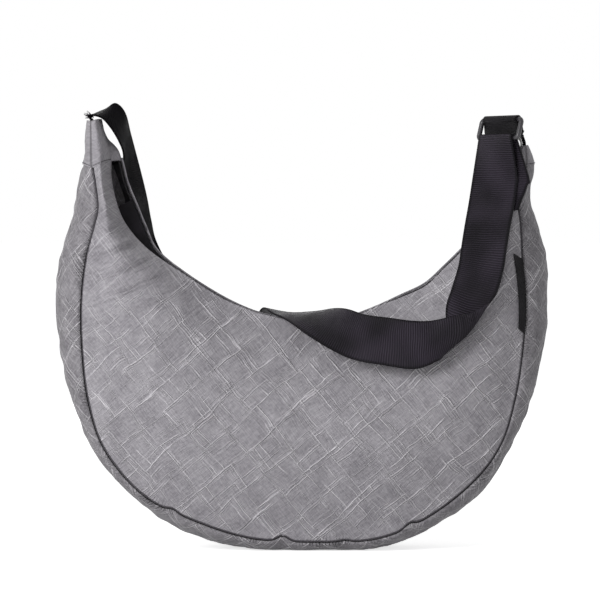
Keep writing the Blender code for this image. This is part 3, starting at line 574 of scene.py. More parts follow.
def crushed_cloth(name, colour, light, pucker, lines=1.0):
    """Thin crushed nylon: a slanted lattice of crease bundles, fine hatching, and puckers by the seams."""
    g = new_graph(name)
    flat = g.uv("flat")
    moved = g.shifted(g.shifted(flat, 0.012, 17.0), 0.0018, 90.0)
    height = crests = 0.0
    for turn, shift, cell, line, weight, seed in CREASES:
        drawn = lattice(g, moved, turn, shift, cell, line)
        place = g.mapped(flat, 0, (1, 1, 1), (seed, seed * 0.37, 0))
        broken = g.patches(place, 34.0, 1.5, 0.40, 0.60)
        stroke = g.times(g.times(drawn, broken), weight)
        height = g.plus(height, stroke)
        crests = g.math("MAXIMUM", crests, stroke)
    across, level = g.split(flat)
    drawn_up = g.ramp(g.plus(level, g.times(across, -0.35)), *NECK_LEVELS)
    calm = g.math("SUBTRACT", 1.0, g.times(drawn_up, 0.65))
    height, crests = g.times(height, calm), g.times(crests, calm)
    slants = g.times(hatch(g, moved, 20.0, 0.050, 0.0055, (2, 9, 0)), drawn_up)
    rising = hatch(g, moved, 38.0, 0.014, 0.0011, (3, 1, 0))
    falling = hatch(g, moved, -52.0, 0.014, 0.0011, (8, 5, 0))
    fine = g.plus(rising, falling)
    soft = g.noise(moved, 34.0, 3.0, rough=0.6)
    height = g.plus(g.times(height, 0.85 * lines), g.times(fine, 0.55))
    height = g.plus(height, g.plus(g.times(soft, 0.8), g.times(slants, 2.4)))
    height = g.plus(height, g.times(g.noise(flat, 700.0), 0.10))
    seam = g.uv("seam")
    place, distance = g.split(seam)
    near = g.ramp(distance, 0.0, PUCKER_REACH, 1.0, 0.0)
    uneven = g.plus(place, g.times(g.noise(seam, 160.0, 1.0), PUCKER_PITCH))
    gathered = g.times(near, g.patches(seam, 17.0, 1.0, 0.46, 0.66))
    height = g.plus(height, g.times(g.times(g.wave(uneven, PUCKER_PITCH), gathered), pucker))
    normal = g.bump(height, CLOTH_RELIEF)
    blotches = g.patches(flat, 45.0, 3.0, 0.30, 0.70, rough=0.6)
    grain = g.patches(flat, 330.0, 2.0, 0.30, 0.72)
    # Painted highlight: the crease crests are painted lighter, as if lit; the blotches, grain and hatching
    # added below are random tone.
    tone = g.plus(g.times(crests, 0.85 * lines), g.times(blotches, 0.15))
    tone = g.plus(tone, g.plus(g.times(grain, 0.12), g.times(g.ramp(fine, 0.75, 1.35), 0.20)))
    shade = g.mix_colour(tone, colour, light)
    # Painted shade: the cloth is darkened towards the seam, where the crevice between panel and gusset lies
    # in shade.
    painted_seam_shade = g.ramp(distance, 0.0001, 0.0013, 0.70, 0.0)
    shade = g.mix_colour(painted_seam_shade, shade, tuple(0.25 * c for c in colour[:3]) + (1.0,))
    satin = {"Sheen Weight": 0.05, "Sheen Roughness": 0.45, "Specular IOR Level": 0.35}
    return g.done(shade, g.ramp(crests, 0.0, 1.0, 0.68, 0.52), normal, **satin)


def webbing(name, colour, light, pitch, sheen, end_shade_depth=0.0):
    """Ribbed webbing: ribs across it, a fine weave along them, and a soft satin sheen, partly from its
    gloss and partly painted.
    """
    g = new_graph(name)
    place = g.uv("along")
    x, y = g.split(place)
    ribs = g.wave(g.plus(x, g.times(g.noise(place, 30.0, 1.0), RIB_WANDER)), pitch)
    weak = g.patches(place, 30.0, 2.0, 0.35, 0.65, 0.35, 1.0)
    # Painted shade: the strap is darkened, and its specular lowered, towards the end sewn into the left
    # horn, whose run lies in shade between the panels.
    end_shade_factor = g.ramp(x, *END_SHADE_FROM_TO, 1.0 - end_shade_depth, 1.0)
    height = g.plus(g.times(g.times(ribs, weak), 0.5), g.times(g.wave(y, YARN_PITCH), 0.16))
    height = g.plus(height, g.times(g.noise(place, 900.0), 0.12))
    normal = g.bump(height, WEBBING_RELIEF)
    cloudy = g.patches(place, 22.0, 1.0, 0.30, 0.70)
    ribbed = g.times(g.ramp(ribs, -1, 1), weak)
    off_middle = g.math("ABSOLUTE", g.math("SUBTRACT", y, STRAP_WIDTH / 2))
    edge = g.ramp(off_middle, *DARK_EDGE, 1.0, 0.25)
    # Painted sheen: the soft clouds and the rib crests are painted lighter, scaled down by the painted
    # shade towards the end and darker along both edges.
    tone = g.times(g.times(g.plus(g.times(cloudy, 0.45), g.times(ribbed, 0.55)), end_shade_factor), edge)
    rough = g.patches(place, 40.0, 2.0, 0.3, 0.7, sheen - 0.06, sheen + 0.08)
    shade = g.mix_colour(tone, colour, light)
    return g.done(shade, rough, normal, **{"Specular IOR Level": g.times(end_shade_factor, 0.09)})


def plain_weave(name, colour, light, pitch, rough=0.75):
    g = new_graph(name)
    place = g.uv("flat")
    x, y = g.split(place)
    woven = g.times(g.wave(x, pitch), g.wave(y, pitch))
    height = g.plus(woven, g.times(g.noise(place, 700.0), 0.5))
    shade = g.mix_colour(g.patches(place, 60.0, 3.0, 0.3, 0.7), colour, light)
    return g.done(shade, rough, g.bump(height, WEAVE_RELIEF), **{"Specular IOR Level": 0.15})


def hard(name, colour, light, rough, metallic=0.0, coat=0.0):
    """Painted metal or moulded plastic, a little worn and uneven."""
    g = new_graph(name)
    place = g.in_space()
    worn = g.patches(place, 260.0, 3.0, 0.55, 0.72)
    shade = g.mix_colour(g.times(worn, 0.5), colour, light)
    normal = g.bump(g.noise(place, 900.0), 0.00006)
    finish = g.patches(place, 120.0, 2.0, 0.3, 0.7, rough - 0.05, rough + 0.08)
    more = {"Metallic": metallic, "Coat Weight": coat, "Coat Roughness": 0.2}
    return g.done(shade, finish, normal, **more)


def spun_thread(name, colour, light):
    g = new_graph(name)
    place = g.in_space()
    shade = g.mix_colour(g.noise(place, 900.0), colour, light)
    return g.done(shade, 0.8, g.bump(g.noise(place, 2200.0, 1.0), 0.0001))


# Each material's second colour is its lighter one: in the cloths it carries the painted highlight on the
# crease crests as well as random tone, in the webbings a painted sheen, elsewhere random tone and wear.
PANEL_CLOTH = crushed_cloth("panel_cloth", (0.162, 0.153, 0.170, 1), (0.60, 0.580, 0.612, 1), 0.22)
# Painted shade: the gusset is the panels' cloth painted darker, for the shade on its sides that turn away
# from the light.
SHADED_GUSSET_CLOTH = crushed_cloth("gusset_cloth", (0.086, 0.080, 0.090, 1), (0.56, 0.540, 0.570, 1), 0.90)
CUFF_CLOTH = crushed_cloth("cuff_cloth", (0.200, 0.190, 0.207, 1), (0.50, 0.482, 0.512, 1), 0.2, 0.5)
STRAP_WEB = webbing("strap_web", (0.0036, 0.0032, 0.0042, 1), (0.047, 0.039, 0.054, 1), 0.0021, 0.42, 0.95)
TAB_WEB = webbing("tab_web", (0.0030, 0.0026, 0.0034, 1), (0.0180, 0.0162, 0.0198, 1), 0.0016, 0.50)
TAPE_WEAVE = plain_weave("tape_weave", (0.012, 0.011, 0.013, 1), (0.024, 0.021, 0.026, 1), 0.0009)
LINING_WEAVE = plain_weave("lining_weave", (0.050, 0.047, 0.053, 1), (0.075, 0.071, 0.079, 1), 0.0007)
LABEL_WEAVE = plain_weave("label_weave", (0.005, 0.004, 0.006, 1), (0.012, 0.011, 0.013, 1), 0.0006, 0.6)
SEAM_TAPE = spun_thread("seam_tape", (0.030, 0.027, 0.033, 1), (0.055, 0.050, 0.058, 1))
CUFF_THREAD = spun_thread("cuff_thread", (0.050, 0.046, 0.053, 1), (0.10, 0.092, 0.105, 1))
DARK_THREAD = spun_thread("dark_thread", (0.016, 0.014, 0.018, 1), (0.032, 0.029, 0.035, 1))
TEETH = hard("zipper_teeth", (0.018, 0.017, 0.019, 1), (0.035, 0.033, 0.037, 1), 0.38)
ZIPPER_METAL = hard("zipper_metal", (0.030, 0.029, 0.032, 1), (0.16, 0.155, 0.165, 1), 0.36, 0.9)
RING_FINISH = hard("ring_finish", (0.018, 0.016, 0.020, 1), (0.060, 0.055, 0.065, 1), 0.34, 0.1, 0.2)


# The bag's body


def spaced(count, crowd):
    """0 to 1 in uneven steps, closer together near both ends."""
    part = np.linspace(0.0, 1.0, count)
    return mix(part, (1 - np.cos(np.pi * part)) / 2, crowd)


def seam_pleats(points, distance):
    """Moves points near the lower seam, where the cloth is gathered into small pleats."""
    moved = points.copy()
    near = np.exp(-((distance / PLEAT_REACH) ** 2))
    low = points[:, 2] < PLEAT_TOP
    for x, rise, width in PLEATS:
        away = points[:, 0] - x
        bump = np.exp(-((away / width) ** 2)) * near * low
        moved[:, 2] += rise * bump
        slanted = away + CREASE_SLANT * (points[:, 2] - CREASE_MIDDLE)
        dent = np.exp(-((slanted / CREASE_WIDTH) ** 2)) * near
        moved[:, 1] += np.sign(-points[:, 1]) * CREASE_DEPTH * dent * low
    return moved


def neck_folds(points, seed):
    """Slanted folds on the left neck of the crescent."""
    x, z = points[:, 0], points[:, 2]
    x_part = (x - NECK_MIDDLE[0]) / NECK_REACH[0]
    z_part = (z - NECK_MIDDLE[1]) / NECK_REACH[1]
    slant = z - NECK_SLOPE * x + NECK_WANDER * waves(points, 0.05, seed + 6)
    return NECK_FOLD * np.exp(-(x_part**2) - z_part**2) * np.sin(slant * 2 * np.pi / NECK_PITCH)


def cloth_relief(grid, surface, u, seam_gap, seed):
    """How far the cloth stands out: its folds, the dip along the seam, and a panel's rolled lip."""
    if surface is gusset_surface:
        mouth_gap, roll = seam_gap, 0.0
        folds = summed_waves(grid, GUSSET_FOLDS, seed)
    else:
        mouth_gap = np.linalg.norm(grid - surface(u, np.zeros(len(u))), axis=1)
        roll = LIP_ROLL * np.exp(-((mouth_gap / LIP_ROLL_WIDTH) ** 2))
        folds = summed_waves(grid, BROAD_FOLDS, seed) + neck_folds(grid, seed)
    calm = ease(seam_gap, 0.0, SEAM_CALM) * ease(mouth_gap, 0.0, MOUTH_CALM)
    dip = SEAM_DIP * np.exp(-((seam_gap / SEAM_DIP_WIDTH) ** 2))
    return calm * folds - dip + roll


def shell_piece(node, surface, limits, rows, columns, look, seed, depth):
    """One sheet between the cuffs: a cloth with folds, or without a seed a lining set in by depth."""
    material, slot, thickness = look
    cloth = seed is not None
    gusset = cloth and surface is gusset_surface
    u_line = np.linspace(LEFT_CUFF_SHARE - LEFT_TUCK, RIGHT_CUFF_SHARE + RIGHT_TUCK, rows)
    low, high = (np.repeat(edge, columns) for edge in limits(u_line))
    u = np.repeat(u_line, columns)
    across = low + (high - low) * np.tile(spaced(columns, 0.75), rows)
    grid = surface(u, across)
    outward = outward_normals(surface, u, across)
    sewn = np.round(across) if gusset else np.ones(len(u))
    seam_gap = np.linalg.norm(grid - surface(u, sewn), axis=1)
    if cloth:
        relief = cloth_relief(grid, surface, u, seam_gap, seed)
        grid = seam_pleats(grid + outward * relief[:, None], seam_gap)
    else:
        grid = grid - outward * depth
    grid[:, 2] = np.maximum(grid[:, 2], 0.0)
    shaped = grid.reshape(rows, columns, 3)
    length = running_length(shaped)
    flat = shaped[..., [0, 2]]
    if gusset:
        flat = paired(length[:, columns // 2, None], running_length(shaped.swapaxes(0, 1)).T)
    seam = paired(length[:, -1:], seam_gap.reshape(rows, columns))
    mesh = grid_mesh(node + "_cloth", shaped, {"flat": flat, "seam": seam})
    if face_inward(shaped, inner_target(np.array([0.5]))[0]):
        mesh.flip_normals()
    finish_piece(solid(piece(mesh, material), thickness, -1.0), slot, node)


def panel_limits(trim):
    def limits(u):
        points = section_points(u)
        length = np.linalg.norm(points[:, 2] - points[:, 0], axis=1)
        return np.zeros(len(u)), 1 - trim / length

    return limits


def gusset_limits(trim):
    def limits(u):
        points = section_points(u)
        rise = np.linalg.norm(points[:, 3] - points[:, 2], axis=1)
        share = np.arcsin(np.minimum(trim / rise, 0.6)) / np.pi
        return share, 1 - share

    return limits


def make_shell():
    outer, side = panel_limits(CLOTH_TRIM), gusset_limits(CLOTH_TRIM)
    inner, inner_side = panel_limits(LINING_TRIM), gusset_limits(GUSSET_LINING_TRIM)
    panel = (PANEL_CLOTH, "shell", FABRIC)
    strip = (SHADED_GUSSET_CLOTH, "gusset_cloth", FABRIC)
    lining = (LINING_WEAVE, "lining", LINING)
    for values in (
        ("front_panel", front_surface, outer, 380, 190, panel, 1, 0.0),
        ("back_panel", back_surface, outer, 300, 150, panel, 11, 0.0),
        ("gusset", gusset_surface, side, 420, 90, strip, 21, 0.0),
        ("front_lining", front_surface, inner, 120, 30, lining, None, LINING_INSET),
        ("back_lining", back_surface, inner, 120, 30, lining, None, LINING_INSET),
        ("gusset_lining", gusset_surface, inner_side, 120, 24, lining, None, GUSSET_LINING_INSET),
    ):
        shell_piece(*values)


def make_seams():
    u = np.linspace(LEFT_CUFF_SHARE + 0.003, RIGHT_CUFF_SHARE - 0.003, 700)
    for side, surface in (("front", front_surface), ("back", back_surface)):
        path = surface(u, np.ones(len(u)))
        inward = unit(inner_target(u) - path)
        path = seam_pleats(path + inward * SEAM_TAPE_INSET, np.zeros(len(path)))
        path[:, 2] = np.maximum(path[:, 2], SEAM_TAPE_LIFT)
        mesh = tube_mesh(side + "_seam_tape", path, SEAM_TAPE_RADIUS, 8)
        finish_piece(piece(mesh, SEAM_TAPE), "binding", side + "_seam_binding")


def make_pocket():
    rows, columns = 40, 30
    u_line, v_line = np.linspace(*POCKET_ALONG, rows), np.linspace(*POCKET_DOWN, columns)
    u, v = np.repeat(u_line, columns), np.tile(v_line, rows)
    grid = back_surface(u, v) - POCKET_INSET * outward_normals(back_surface, u, v)
    shaped = grid.reshape(rows, columns, 3)
    mesh = grid_mesh("pocket_cloth", shaped, {"flat": shaped[..., [0, 2]]})
    finish_piece(solid(piece(mesh, LINING_WEAVE), LINING, 0.0), "lining", "inner_pocket")
    hem = shaped[:, 0] - (0, 0.0004, 0)
    mesh = tube_mesh("pocket_hem_cord", hem, POCKET_HEM_RADIUS, 8)
    finish_piece(piece(mesh, DARK_THREAD), "binding", "pocket_hem")


def horn_outline(u, count, lift=0.0):
    """Closed outline of a horn's section, from the front lip round the gusset to the back lip."""
    third = count // 3
    v = np.linspace(0.0, 1.0, third) ** 1.6
    w = np.linspace(0.0, 1.0, third + 2)[1:-1]
    along = np.full(third, u)
    ring = np.concatenate([front_surface(along, v), gusset_surface(along, w), back_surface(along, v)[::-1]])
    for _ in range(6):
        ring = (np.roll(ring, 1, axis=0) + 2 * ring + np.roll(ring, -1, axis=0)) / 4
    if lift:
        tangent = unit(np.roll(ring, -1, axis=0) - np.roll(ring, 1, axis=0))
        outward = unit(np.cross(tangent, horn_axis(u)))
        if np.dot(outward[0], ring[0] - ring.mean(axis=0)) < 0:
            outward = -outward
        ring = ring + outward * lift
    return ring


def horn_axis(u):
    a = section_points(np.array([u - 0.01, u + 0.01])).mean(axis=1)
    step = a[1] - a[0]
    return unit([step[0], 0.0, step[1]])


def make_cuffs():
    rows = 60
    for side, limits in (("left", (0.001, LEFT_CUFF_SHARE)), ("right", (RIGHT_CUFF_SHARE, 0.999))):
        u_line = np.linspace(*limits, rows)
        smooth = np.stack([horn_outline(u, 90) for u in u_line])
        outward = unit(smooth - smooth.mean(axis=1, keepdims=True))
        lift = CUFF_LIFT + summed_waves(smooth.reshape(-1, 3), CUFF_FOLDS, 31)
        shaped = smooth + outward * lift.reshape(rows, -1, 1)
        flat = paired(shaped[..., 0] + shaped[..., 1] * 0.6, shaped[..., 2])
        seams = [surface(u_line, np.ones(rows))[:, None] for surface in (front_surface, back_surface)]
        gaps = [np.linalg.norm(shaped - line, axis=2) for line in seams]
        seam_gap = np.minimum(*[gap - gap.min(axis=1, keepdims=True) for gap in gaps])
        uvs = {"flat": flat, "seam": paired(shaped[..., 2], seam_gap)}
        mesh = grid_mesh(side + "_cuff_cloth", shaped, uvs, closed=True)
        if face_inward(shaped, shaped[rows // 2].mean(axis=0)):
            mesh.flip_normals()
        finish_piece(solid(piece(mesh, CUFF_CLOTH), FABRIC, -1.0), "shell", side + "_horn_cuff")


def stitch_row(name, line, outward):
    """Separate stitches along a line of points, each a short arched thread."""
    run = running_length(line[:, None])[:, 0]
    arch = np.sin(np.linspace(0, np.pi, 6)) * (1 + STITCH_SINK) - STITCH_SINK
    meshes = []
    for start in np.arange(0.0, run[-1] - STITCH_LENGTH, STITCH_LENGTH + STITCH_GAP):
        spots = np.linspace(start, start + STITCH_LENGTH, 6)
        path, normal = [
            np.stack([np.interp(spots, run, rows[:, axis]) for axis in range(3)], axis=1)
            for rows in (line, outward)
        ]
        arched = path + unit(normal) * (STITCH_RADIUS * arch)[:, None]
        meshes.append(tube_mesh(name, arched, STITCH_RADIUS, 6))
    return joined(name, meshes)


def make_cuff_stitches():
    for side, u in (("left", LEFT_CUFF_SHARE * 0.955), ("right", 1 - (1 - RIGHT_CUFF_SHARE) * 0.92)):
        ring = horn_outline(u, 240, STITCH_LIFT)
        mesh = stitch_row(side + "_cuff_stitches", ring, unit(ring - ring.mean(axis=0)))
        finish_piece(piece(mesh, CUFF_THREAD), "thread", side + "_cuff_thread")


def make_label():
    rows, columns = 60, 20
    u_line = np.linspace(*LABEL_ALONG_SHARES, rows)
    points = section_points(u_line)
    length = np.linalg.norm(points[:, 2] - points[:, 0], axis=1)
    width = np.linspace(LABEL_LOW_WIDTH, LABEL_TOP_WIDTH, rows)
    inset = LABEL_MARGIN + width[:, None] * np.linspace(1.0, 0.0, columns)
    u, v = np.repeat(u_line, columns), (1 - inset / length[:, None]).ravel()
    grid = front_surface(u, v)
    lift = LABEL_LIFT + 0.0004 * waves(grid, 0.02, 41)
    grid = grid + outward_normals(front_surface, u, v) * lift[:, None]
    grid = grid.reshape(rows, columns, 3)
    mesh = grid_mesh("label_cloth", grid, {"flat": grid[..., [0, 2]]})
    finish_piece(solid(piece(mesh, LABEL_WEAVE), LABEL, 0.0), "label", "side_label")


# The zipper


def zip_centre():
    return np.array([BODY_WIDTH * ZIP_CENTRE_SHARES[0], 0.0, BODY_HEIGHT * ZIP_CENTRE_SHARES[1]])


def zip_point(angle, radius, y):
    turn = np.radians(angle)
    centre = zip_centre()
    x, z = centre[0] + radius * np.sin(turn), centre[2] - radius * np.cos(turn)
    return np.stack([x, np.broadcast_to(y, np.shape(turn)), z], axis=-1)


def lip_line(side, angles):
    """Distance of a lip from the zipper's centre and its depth, at each angle."""
    u = np.linspace(LEFT_CUFF_SHARE, RIGHT_CUFF_SHARE, 400)
    lip = panel_surface(u, np.zeros(len(u)), side)
    away = lip - zip_centre()
    angle = np.degrees(np.arctan2(away[:, 0], -away[:, 2]))
    order = np.argsort(angle)
    radius = np.hypot(away[:, 0], away[:, 2])
    return [np.interp(angles, angle[order], values[order]) for values in (radius, lip[:, 1])]


def make_zipper():
    angles = np.linspace(-ZIP_LEFT_ANGLE - 1.0, ZIP_RIGHT_ANGLE + 1.0, 260)
    bottom = ZIP_RADIUS + CHAIN_HEIGHT / 2 + GAP + TAPE / 2
    foot_half = SLIDER_WIDTH / 2 + RUNNING_GAP
    for side, name in ((-1, "front"), (1, "back")):
        radius, depth = lip_line(side, angles)
        edge_radius = np.minimum(radius + 2.2 * FABRIC, bottom - FABRIC)
        edge_depth = np.maximum(np.abs(depth) - FABRIC * 1.2, SLIDER_WIDTH / 2 + FABRIC)
        columns = []
        for part in np.linspace(0, 1, 10):
            level = mix(edge_radius, bottom, ease(part, 0.0, 1.0) ** 0.8)
            columns.append(zip_point(angles, level, side * mix(edge_depth, foot_half, part)))
        for part in np.linspace(0.25, 1, 4):
            columns.append(zip_point(angles, bottom, side * mix(foot_half, CHAIN_PARTING / 2, part)))
        grid = np.stack(columns, axis=1)
        flat = paired(running_length(grid), np.linspace(0, TAPE_WIDTH, len(columns)))
        mesh = grid_mesh(name + "_tape_cloth", grid, {"flat": flat})
        obj = solid(piece(mesh, TAPE_WEAVE), TAPE, 0.0)
        finish_piece(obj, "zipper_tape", name + "_zipper_tape")
        make_teeth(side, name)


def make_teeth(side, name):
    """One half of the zipper's chain: rounded teeth that reach just past the middle."""
    pitch = math.degrees(TOOTH_PITCH / ZIP_RADIUS)
    angles = np.arange(-ZIP_LEFT_ANGLE, ZIP_RIGHT_ANGLE, pitch) + (pitch / 2 if side > 0 else 0.0)
    across = np.linspace(-0.15, 1.0, 5) * CHAIN_WIDTH + CHAIN_PARTING / 2
    arch = np.sqrt(1 - np.linspace(-1, 1, 5) ** 2 * 0.8)
    thickness = TOOTH_RADIUS * (0.75 + 0.25 * arch)
    meshes = []
    for angle in angles:
        path = zip_point(np.full(5, angle), ZIP_RADIUS - 0.0003 * arch, side * across)
        meshes.append(tube_mesh("tooth", path, thickness, 6))
    mesh = joined(name + "_zipper_teeth", meshes)
    finish_piece(piece(mesh, TEETH), "zipper_chain", name + "_zipper_chain")


# The strap, its ring and the tab


def bar_directions():
    """Along the ring's top bar, and level out from it."""
    sway = math.radians(90 - RING_SWAY)
    along = np.array([math.cos(sway), -math.sin(sway), 0.0])
    return along, np.array([along[1], -along[0], 0.0])


def ring_axes():
    """Along the ring's bars, and up its sides."""
    along, level = bar_directions()
    lean = math.radians(RING_LEAN)
    return along, UP * math.cos(lean) - level * math.sin(lean)


def across_rows(low, high, bow, width):
    middle = (low + high) / 2 + bow
    reach = np.linalg.norm(low - middle, axis=1) + np.linalg.norm(high - middle, axis=1)
    scale = (width / reach)[:, None]
    return np.stack([middle + (low - middle) * scale, middle, middle + (high - middle) * scale], axis=1)


def widened(grid, columns):
    """Rows of three points across a band made into rows of many, on a gentle curve."""
    part = np.linspace(-1, 1, columns)[None, :, None]
    low, middle, high = grid[:, 0:1], grid[:, 1:2], grid[:, 2:3]
    straight = (low + high) / 2
    bow = middle - straight
    return straight + (high - low) / 2 * part + bow * (1 - part**2)


def wrapped(bar, radius, front, down, spread, turns):
    """Rows of a band that turns round a bar."""
    turns = np.radians(turns)[:, None]
    middle = bar + radius * (front * np.cos(turns) - down * np.sin(turns))
    return list(middle[:, None] + spread)


def dense_band(rows, columns, per_row):
    """A band through rows of three points: its grid, and each point's place along and across it."""
    dense = smooth_rows(rows, np.linspace(0, len(rows) - 1, (len(rows) - 1) * per_row + 1))
    grid = widened(dense, columns)
    length = running_length(grid[:, columns // 2 : columns // 2 + 1])
    return grid, paired(length, np.linalg.norm(grid - grid[:, :1], axis=2))


def make_strap():
    edges = [from_shares(values) for values in STRAP_SHARES.swapaxes(0, 1)]
    rows = across_rows(*edges, STRAP_WIDTH)
    free = smooth_rows(rows, np.linspace(0, len(rows) - 1, STRAP_STEPS * len(rows)))
    along, up = ring_axes()
    bar = from_shares(RING_CENTRE_SHARES) - up * RING_DROP
    radius = RING_WIRE / 2 + GAP + STRAP / 2
    drop = unit(free[-1, 1] - bar)
    front = unit(np.cross(along, drop))
    if np.dot(front, np.cross(along, up)) < 0:
        front = -front
    wrap = wrapped(bar, radius, front, drop, HALVES * along * STRAP_WIDTH, np.linspace(0, 180, 9))
    front_run = list(free) + [mix(free[-1], wrap[0], 0.45)]
    behind = np.array(front_run)[::-1]
    beyond = running_length(behind[:, 1:2])[:, 0]
    doubled = beyond < STRAP_DOUBLED
    behind, beyond = behind[doubled], beyond[doubled]
    across = unit(behind[:, 2] - behind[:, 0])
    normals = unit(np.cross(np.gradient(behind[:, 1], axis=0), across))
    if np.dot(normals[0], front) > 0:
        normals = -normals
    spread = 2 * radius * (1 - ease(beyond, 0.0, STRAP_DOUBLED / 2))
    lift = np.maximum(spread, STRAP + 2 * GAP)
    slip = 1.3 * ease(beyond, 0.0, STRAP_DOUBLED / 4) - 0.8 * ease(beyond, STRAP_DOUBLED / 3, STRAP_DOUBLED)
    aside = normals * lift[:, None] + across * (FOLD_STRAY * slip)[:, None]
    back_run = behind + aside[:, None, :]
    grid = np.array(front_run + wrap + list(back_run[1:]))
    fine, place = dense_band(grid, 25, STRAP_FINE_STEPS)
    cut = STRAP_STILL_ROWS * STRAP_STEPS * STRAP_FINE_STEPS
    parts = (("strap_long", slice(0, cut + 1), "bag"), ("strap_end", slice(cut, None), None))
    for name, part, body in parts:
        mesh = grid_mesh(name, fine[part], {"along": place[part]})
        obj = solid(piece(mesh, STRAP_WEB), STRAP, 0.0)
        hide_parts("strap")
        if body:
            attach(obj, body)
        else:
            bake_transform(obj)
    seam = np.linspace(0.08, 0.92, 80)
    line = mix(behind[-1, 0], behind[-1, 2], seam[:, None])
    zigzag = TACK_WIDTH * np.sin(np.arange(len(seam)) * math.pi / 2)
    line = line + np.outer(zigzag, unit(drop)) + aside[-1] + normals[-1] * (STRAP / 2 + GAP)
    mesh = tube_mesh("strap_fold_stitches", line, TACK_RADIUS, 6)
    obj = piece(mesh, DARK_THREAD)
    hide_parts("strap_fold_bartack")
    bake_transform(obj)


def make_ring():
    along, up = ring_axes()
    top = from_shares(RING_CENTRE_SHARES)
    half = (RING_INNER + RING_WIRE) / 2
    path = []
    for index, (x, z) in enumerate([(half, 0.0), (half, -RING_DROP), (-half, -RING_DROP), (-half, 0.0)]):
        centre = np.array([x - math.copysign(RING_CORNER, x), z + (RING_CORNER if z else -RING_CORNER)])
        for turn in np.radians(np.linspace(90, 0, 13) - 90 * index):
            local = centre + RING_CORNER * np.array([math.cos(turn), math.sin(turn)])
            path.append(top + along * local[0] + up * local[1])
    mesh = tube_mesh("ring_wire", path, RING_WIRE / 2, 20, closed=True)
    finish_piece(piece(mesh, RING_FINISH), "ring", "strap_ring", body="ring")


def make_tab():
    """The webbing loop that holds the ring: a leg up, a turn over the ring's top bar and a leg down."""
    along, level = bar_directions()
    top, foot, waist = map(from_shares, (RING_CENTRE_SHARES, TAB_FOOT_SHARES, TAB_MIDDLE_SHARES))
    radius = RING_WIRE / 2 + GAP + TAB / 2
    lean = math.radians(TAB_LEAN)
    neck = top - TAB_NECK * (level * math.cos(lean) + UP * math.sin(lean))
    parts = np.linspace(0, 1, 9)
    centres = smooth_rows([foot, waist, neck], 2 * parts)
    foot_across = np.array([0.0, -1.0, 0.0])
    acrosses = unit([mix(foot_across, along, turned) for turned in ease(parts, 0.5, 1.0)])
    down = unit(neck - top)
    face = unit(np.cross(along, down))
    normals = unit(np.cross(np.gradient(centres, axis=0), acrosses))
    if np.dot(normals[-1], face) < 0:
        normals = -normals
    gaps = mix(TAB / 2 + GAP, radius * 0.7, ease(parts, 0.55, 1.0))
    widths = mix(TAB_FOOT_WIDTH, TAB_WIDTH, ease(parts, 0.4, 0.85))
    flares = 1.0 + TAB_FLARE * ease(parts, 0.7, 1.0)
    stations = list(zip(centres, normals, acrosses, gaps, widths, flares))

    def leg(sign):
        rows = []
        for centre, normal, across, gap, width, flare in stations:
            spread = HALVES * width * np.array([flare, 1.0, 1.0])[:, None]
            rows.append(centre + normal * sign * gap + spread * across)
        return rows

    wrap = wrapped(top, radius, face, down, HALVES * along * TAB_WIDTH, np.linspace(-25, 205, 12))
    fine, place = dense_band(np.array(leg(1) + wrap + leg(-1)[::-1]), 21, 6)
    mesh = grid_mesh("tab_webbing", fine, {"along": place})
    finish_piece(solid(piece(mesh, TAB_WEB), TAB, 0.0), "webbing", "ring_tab")


def make_frayed_end():
    """Loose thread ends where the strap is sewn into the left horn's tip."""
    base = from_shares(FRAYED_SHARES)
    meshes = []
    for _ in range(FRAYED_THREADS):
        start = base + rng.uniform((-0.001, -0.021, -0.002), (0.004, 0.021, 0.001))
        lean = unit(rng.uniform((-1.3, -0.5, -0.3), (0.1, 0.5, 1.0)))
        reach = rng.uniform(0.002, 0.0045)
        bend = unit(rng.normal(size=3)) * reach * 0.3
        path = [start + lean * reach * t + bend * t * t for t in np.linspace(0, 1, 5)]
        meshes.append(tube_mesh("fray", path, np.linspace(0.00032, 0.0002, 5), 5))
    mesh = joined("strap_end_threads", meshes)
    finish_piece(piece(mesh, DARK_THREAD), "webbing")


def dress_cad_nodes():
    for name in ("zipper_slider", "zipper_pull", "left_zipper_stop", "right_zipper_stop"):
        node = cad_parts[name]
        node.data.materials.clear()
        node.data.materials.append(ZIPPER_METAL)


# Floor, light and camera


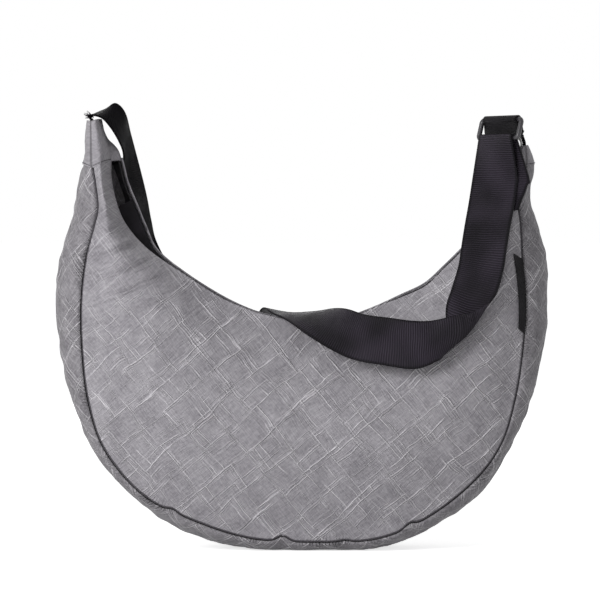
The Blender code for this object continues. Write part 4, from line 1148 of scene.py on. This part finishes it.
def make_floor():
    g = new_graph("pale_floor")
    pale = g.mix_colour(g.noise(g.in_space(), 3.0), (0.80, 0.80, 0.80, 1), (0.84, 0.84, 0.84, 1))
    glow = g.times(g.seen_directly(), FLOOR_GLOW)
    more = {"Emission Color": (1, 1, 1, 1), "Emission Strength": glow, "Specular IOR Level": 0.0}
    corners = [(-60, -60, 0), (60, -60, 0), (60, 60, 0), (-60, 60, 0)]
    obj = piece(smooth_mesh("floor", corners, [(0, 1, 2, 3)]), g.done(pale, 0.9, **more))
    obj.location.z = -FLOOR_DROP


def make_world():
    """Even light from all round, which looks plain white where it is seen."""
    world = bpy.data.worlds.new("studio")
    g = Graph(world)
    g.nodes.clear()
    soft, white = [
        g.add("ShaderNodeBackground", {"Color": (1, 1, 1, 1), "Strength": strength})
        for strength in (SOFT_LIGHT, 1.0)
    ]
    picked = g.add("ShaderNodeMixShader", {0: g.seen_directly(), 1: soft, 2: white})
    g.set(g.nodes.new("ShaderNodeOutputWorld").inputs[0], picked)
    bpy.context.scene.world = world


def make_lights():
    for name, place, size, power in LIGHTS:
        light = bpy.data.lights.new(name, "AREA")
        light.shape = "DISK"
        light.size = size
        light.energy = power
        lamp = linked(name, light)
        lamp.location = place
        lamp.rotation_euler = (Vector(LIGHT_AIM) - Vector(place)).to_track_quat("-Z", "Y").to_euler()


def make_camera():
    elevation = math.radians(VIEW_ELEVATION)
    camera = bpy.data.cameras.new("camera")
    camera.sensor_width = 36.0
    camera.lens = 36.0 * VIEW_DISTANCE / VIEW_SPAN
    camera.clip_end = 300.0
    obj = linked("camera", camera)
    back, rise = VIEW_DISTANCE * math.cos(elevation), VIEW_DISTANCE * math.sin(elevation)
    obj.location = (VIEW_CENTRE[0], -back, VIEW_CENTRE[1] + rise)
    obj.rotation_euler = (math.radians(90) - elevation, 0.0, 0.0)
    bpy.context.scene.camera = obj


bpy.context.scene.view_settings.view_transform = "Standard"
make_camera()
make_shell()
make_seams()
make_pocket()
make_cuffs()
make_cuff_stitches()
make_label()
make_zipper()
make_ring()
make_tab()
make_strap()
make_frayed_end()
dress_cad_nodes()
make_floor()
make_world()
make_lights()
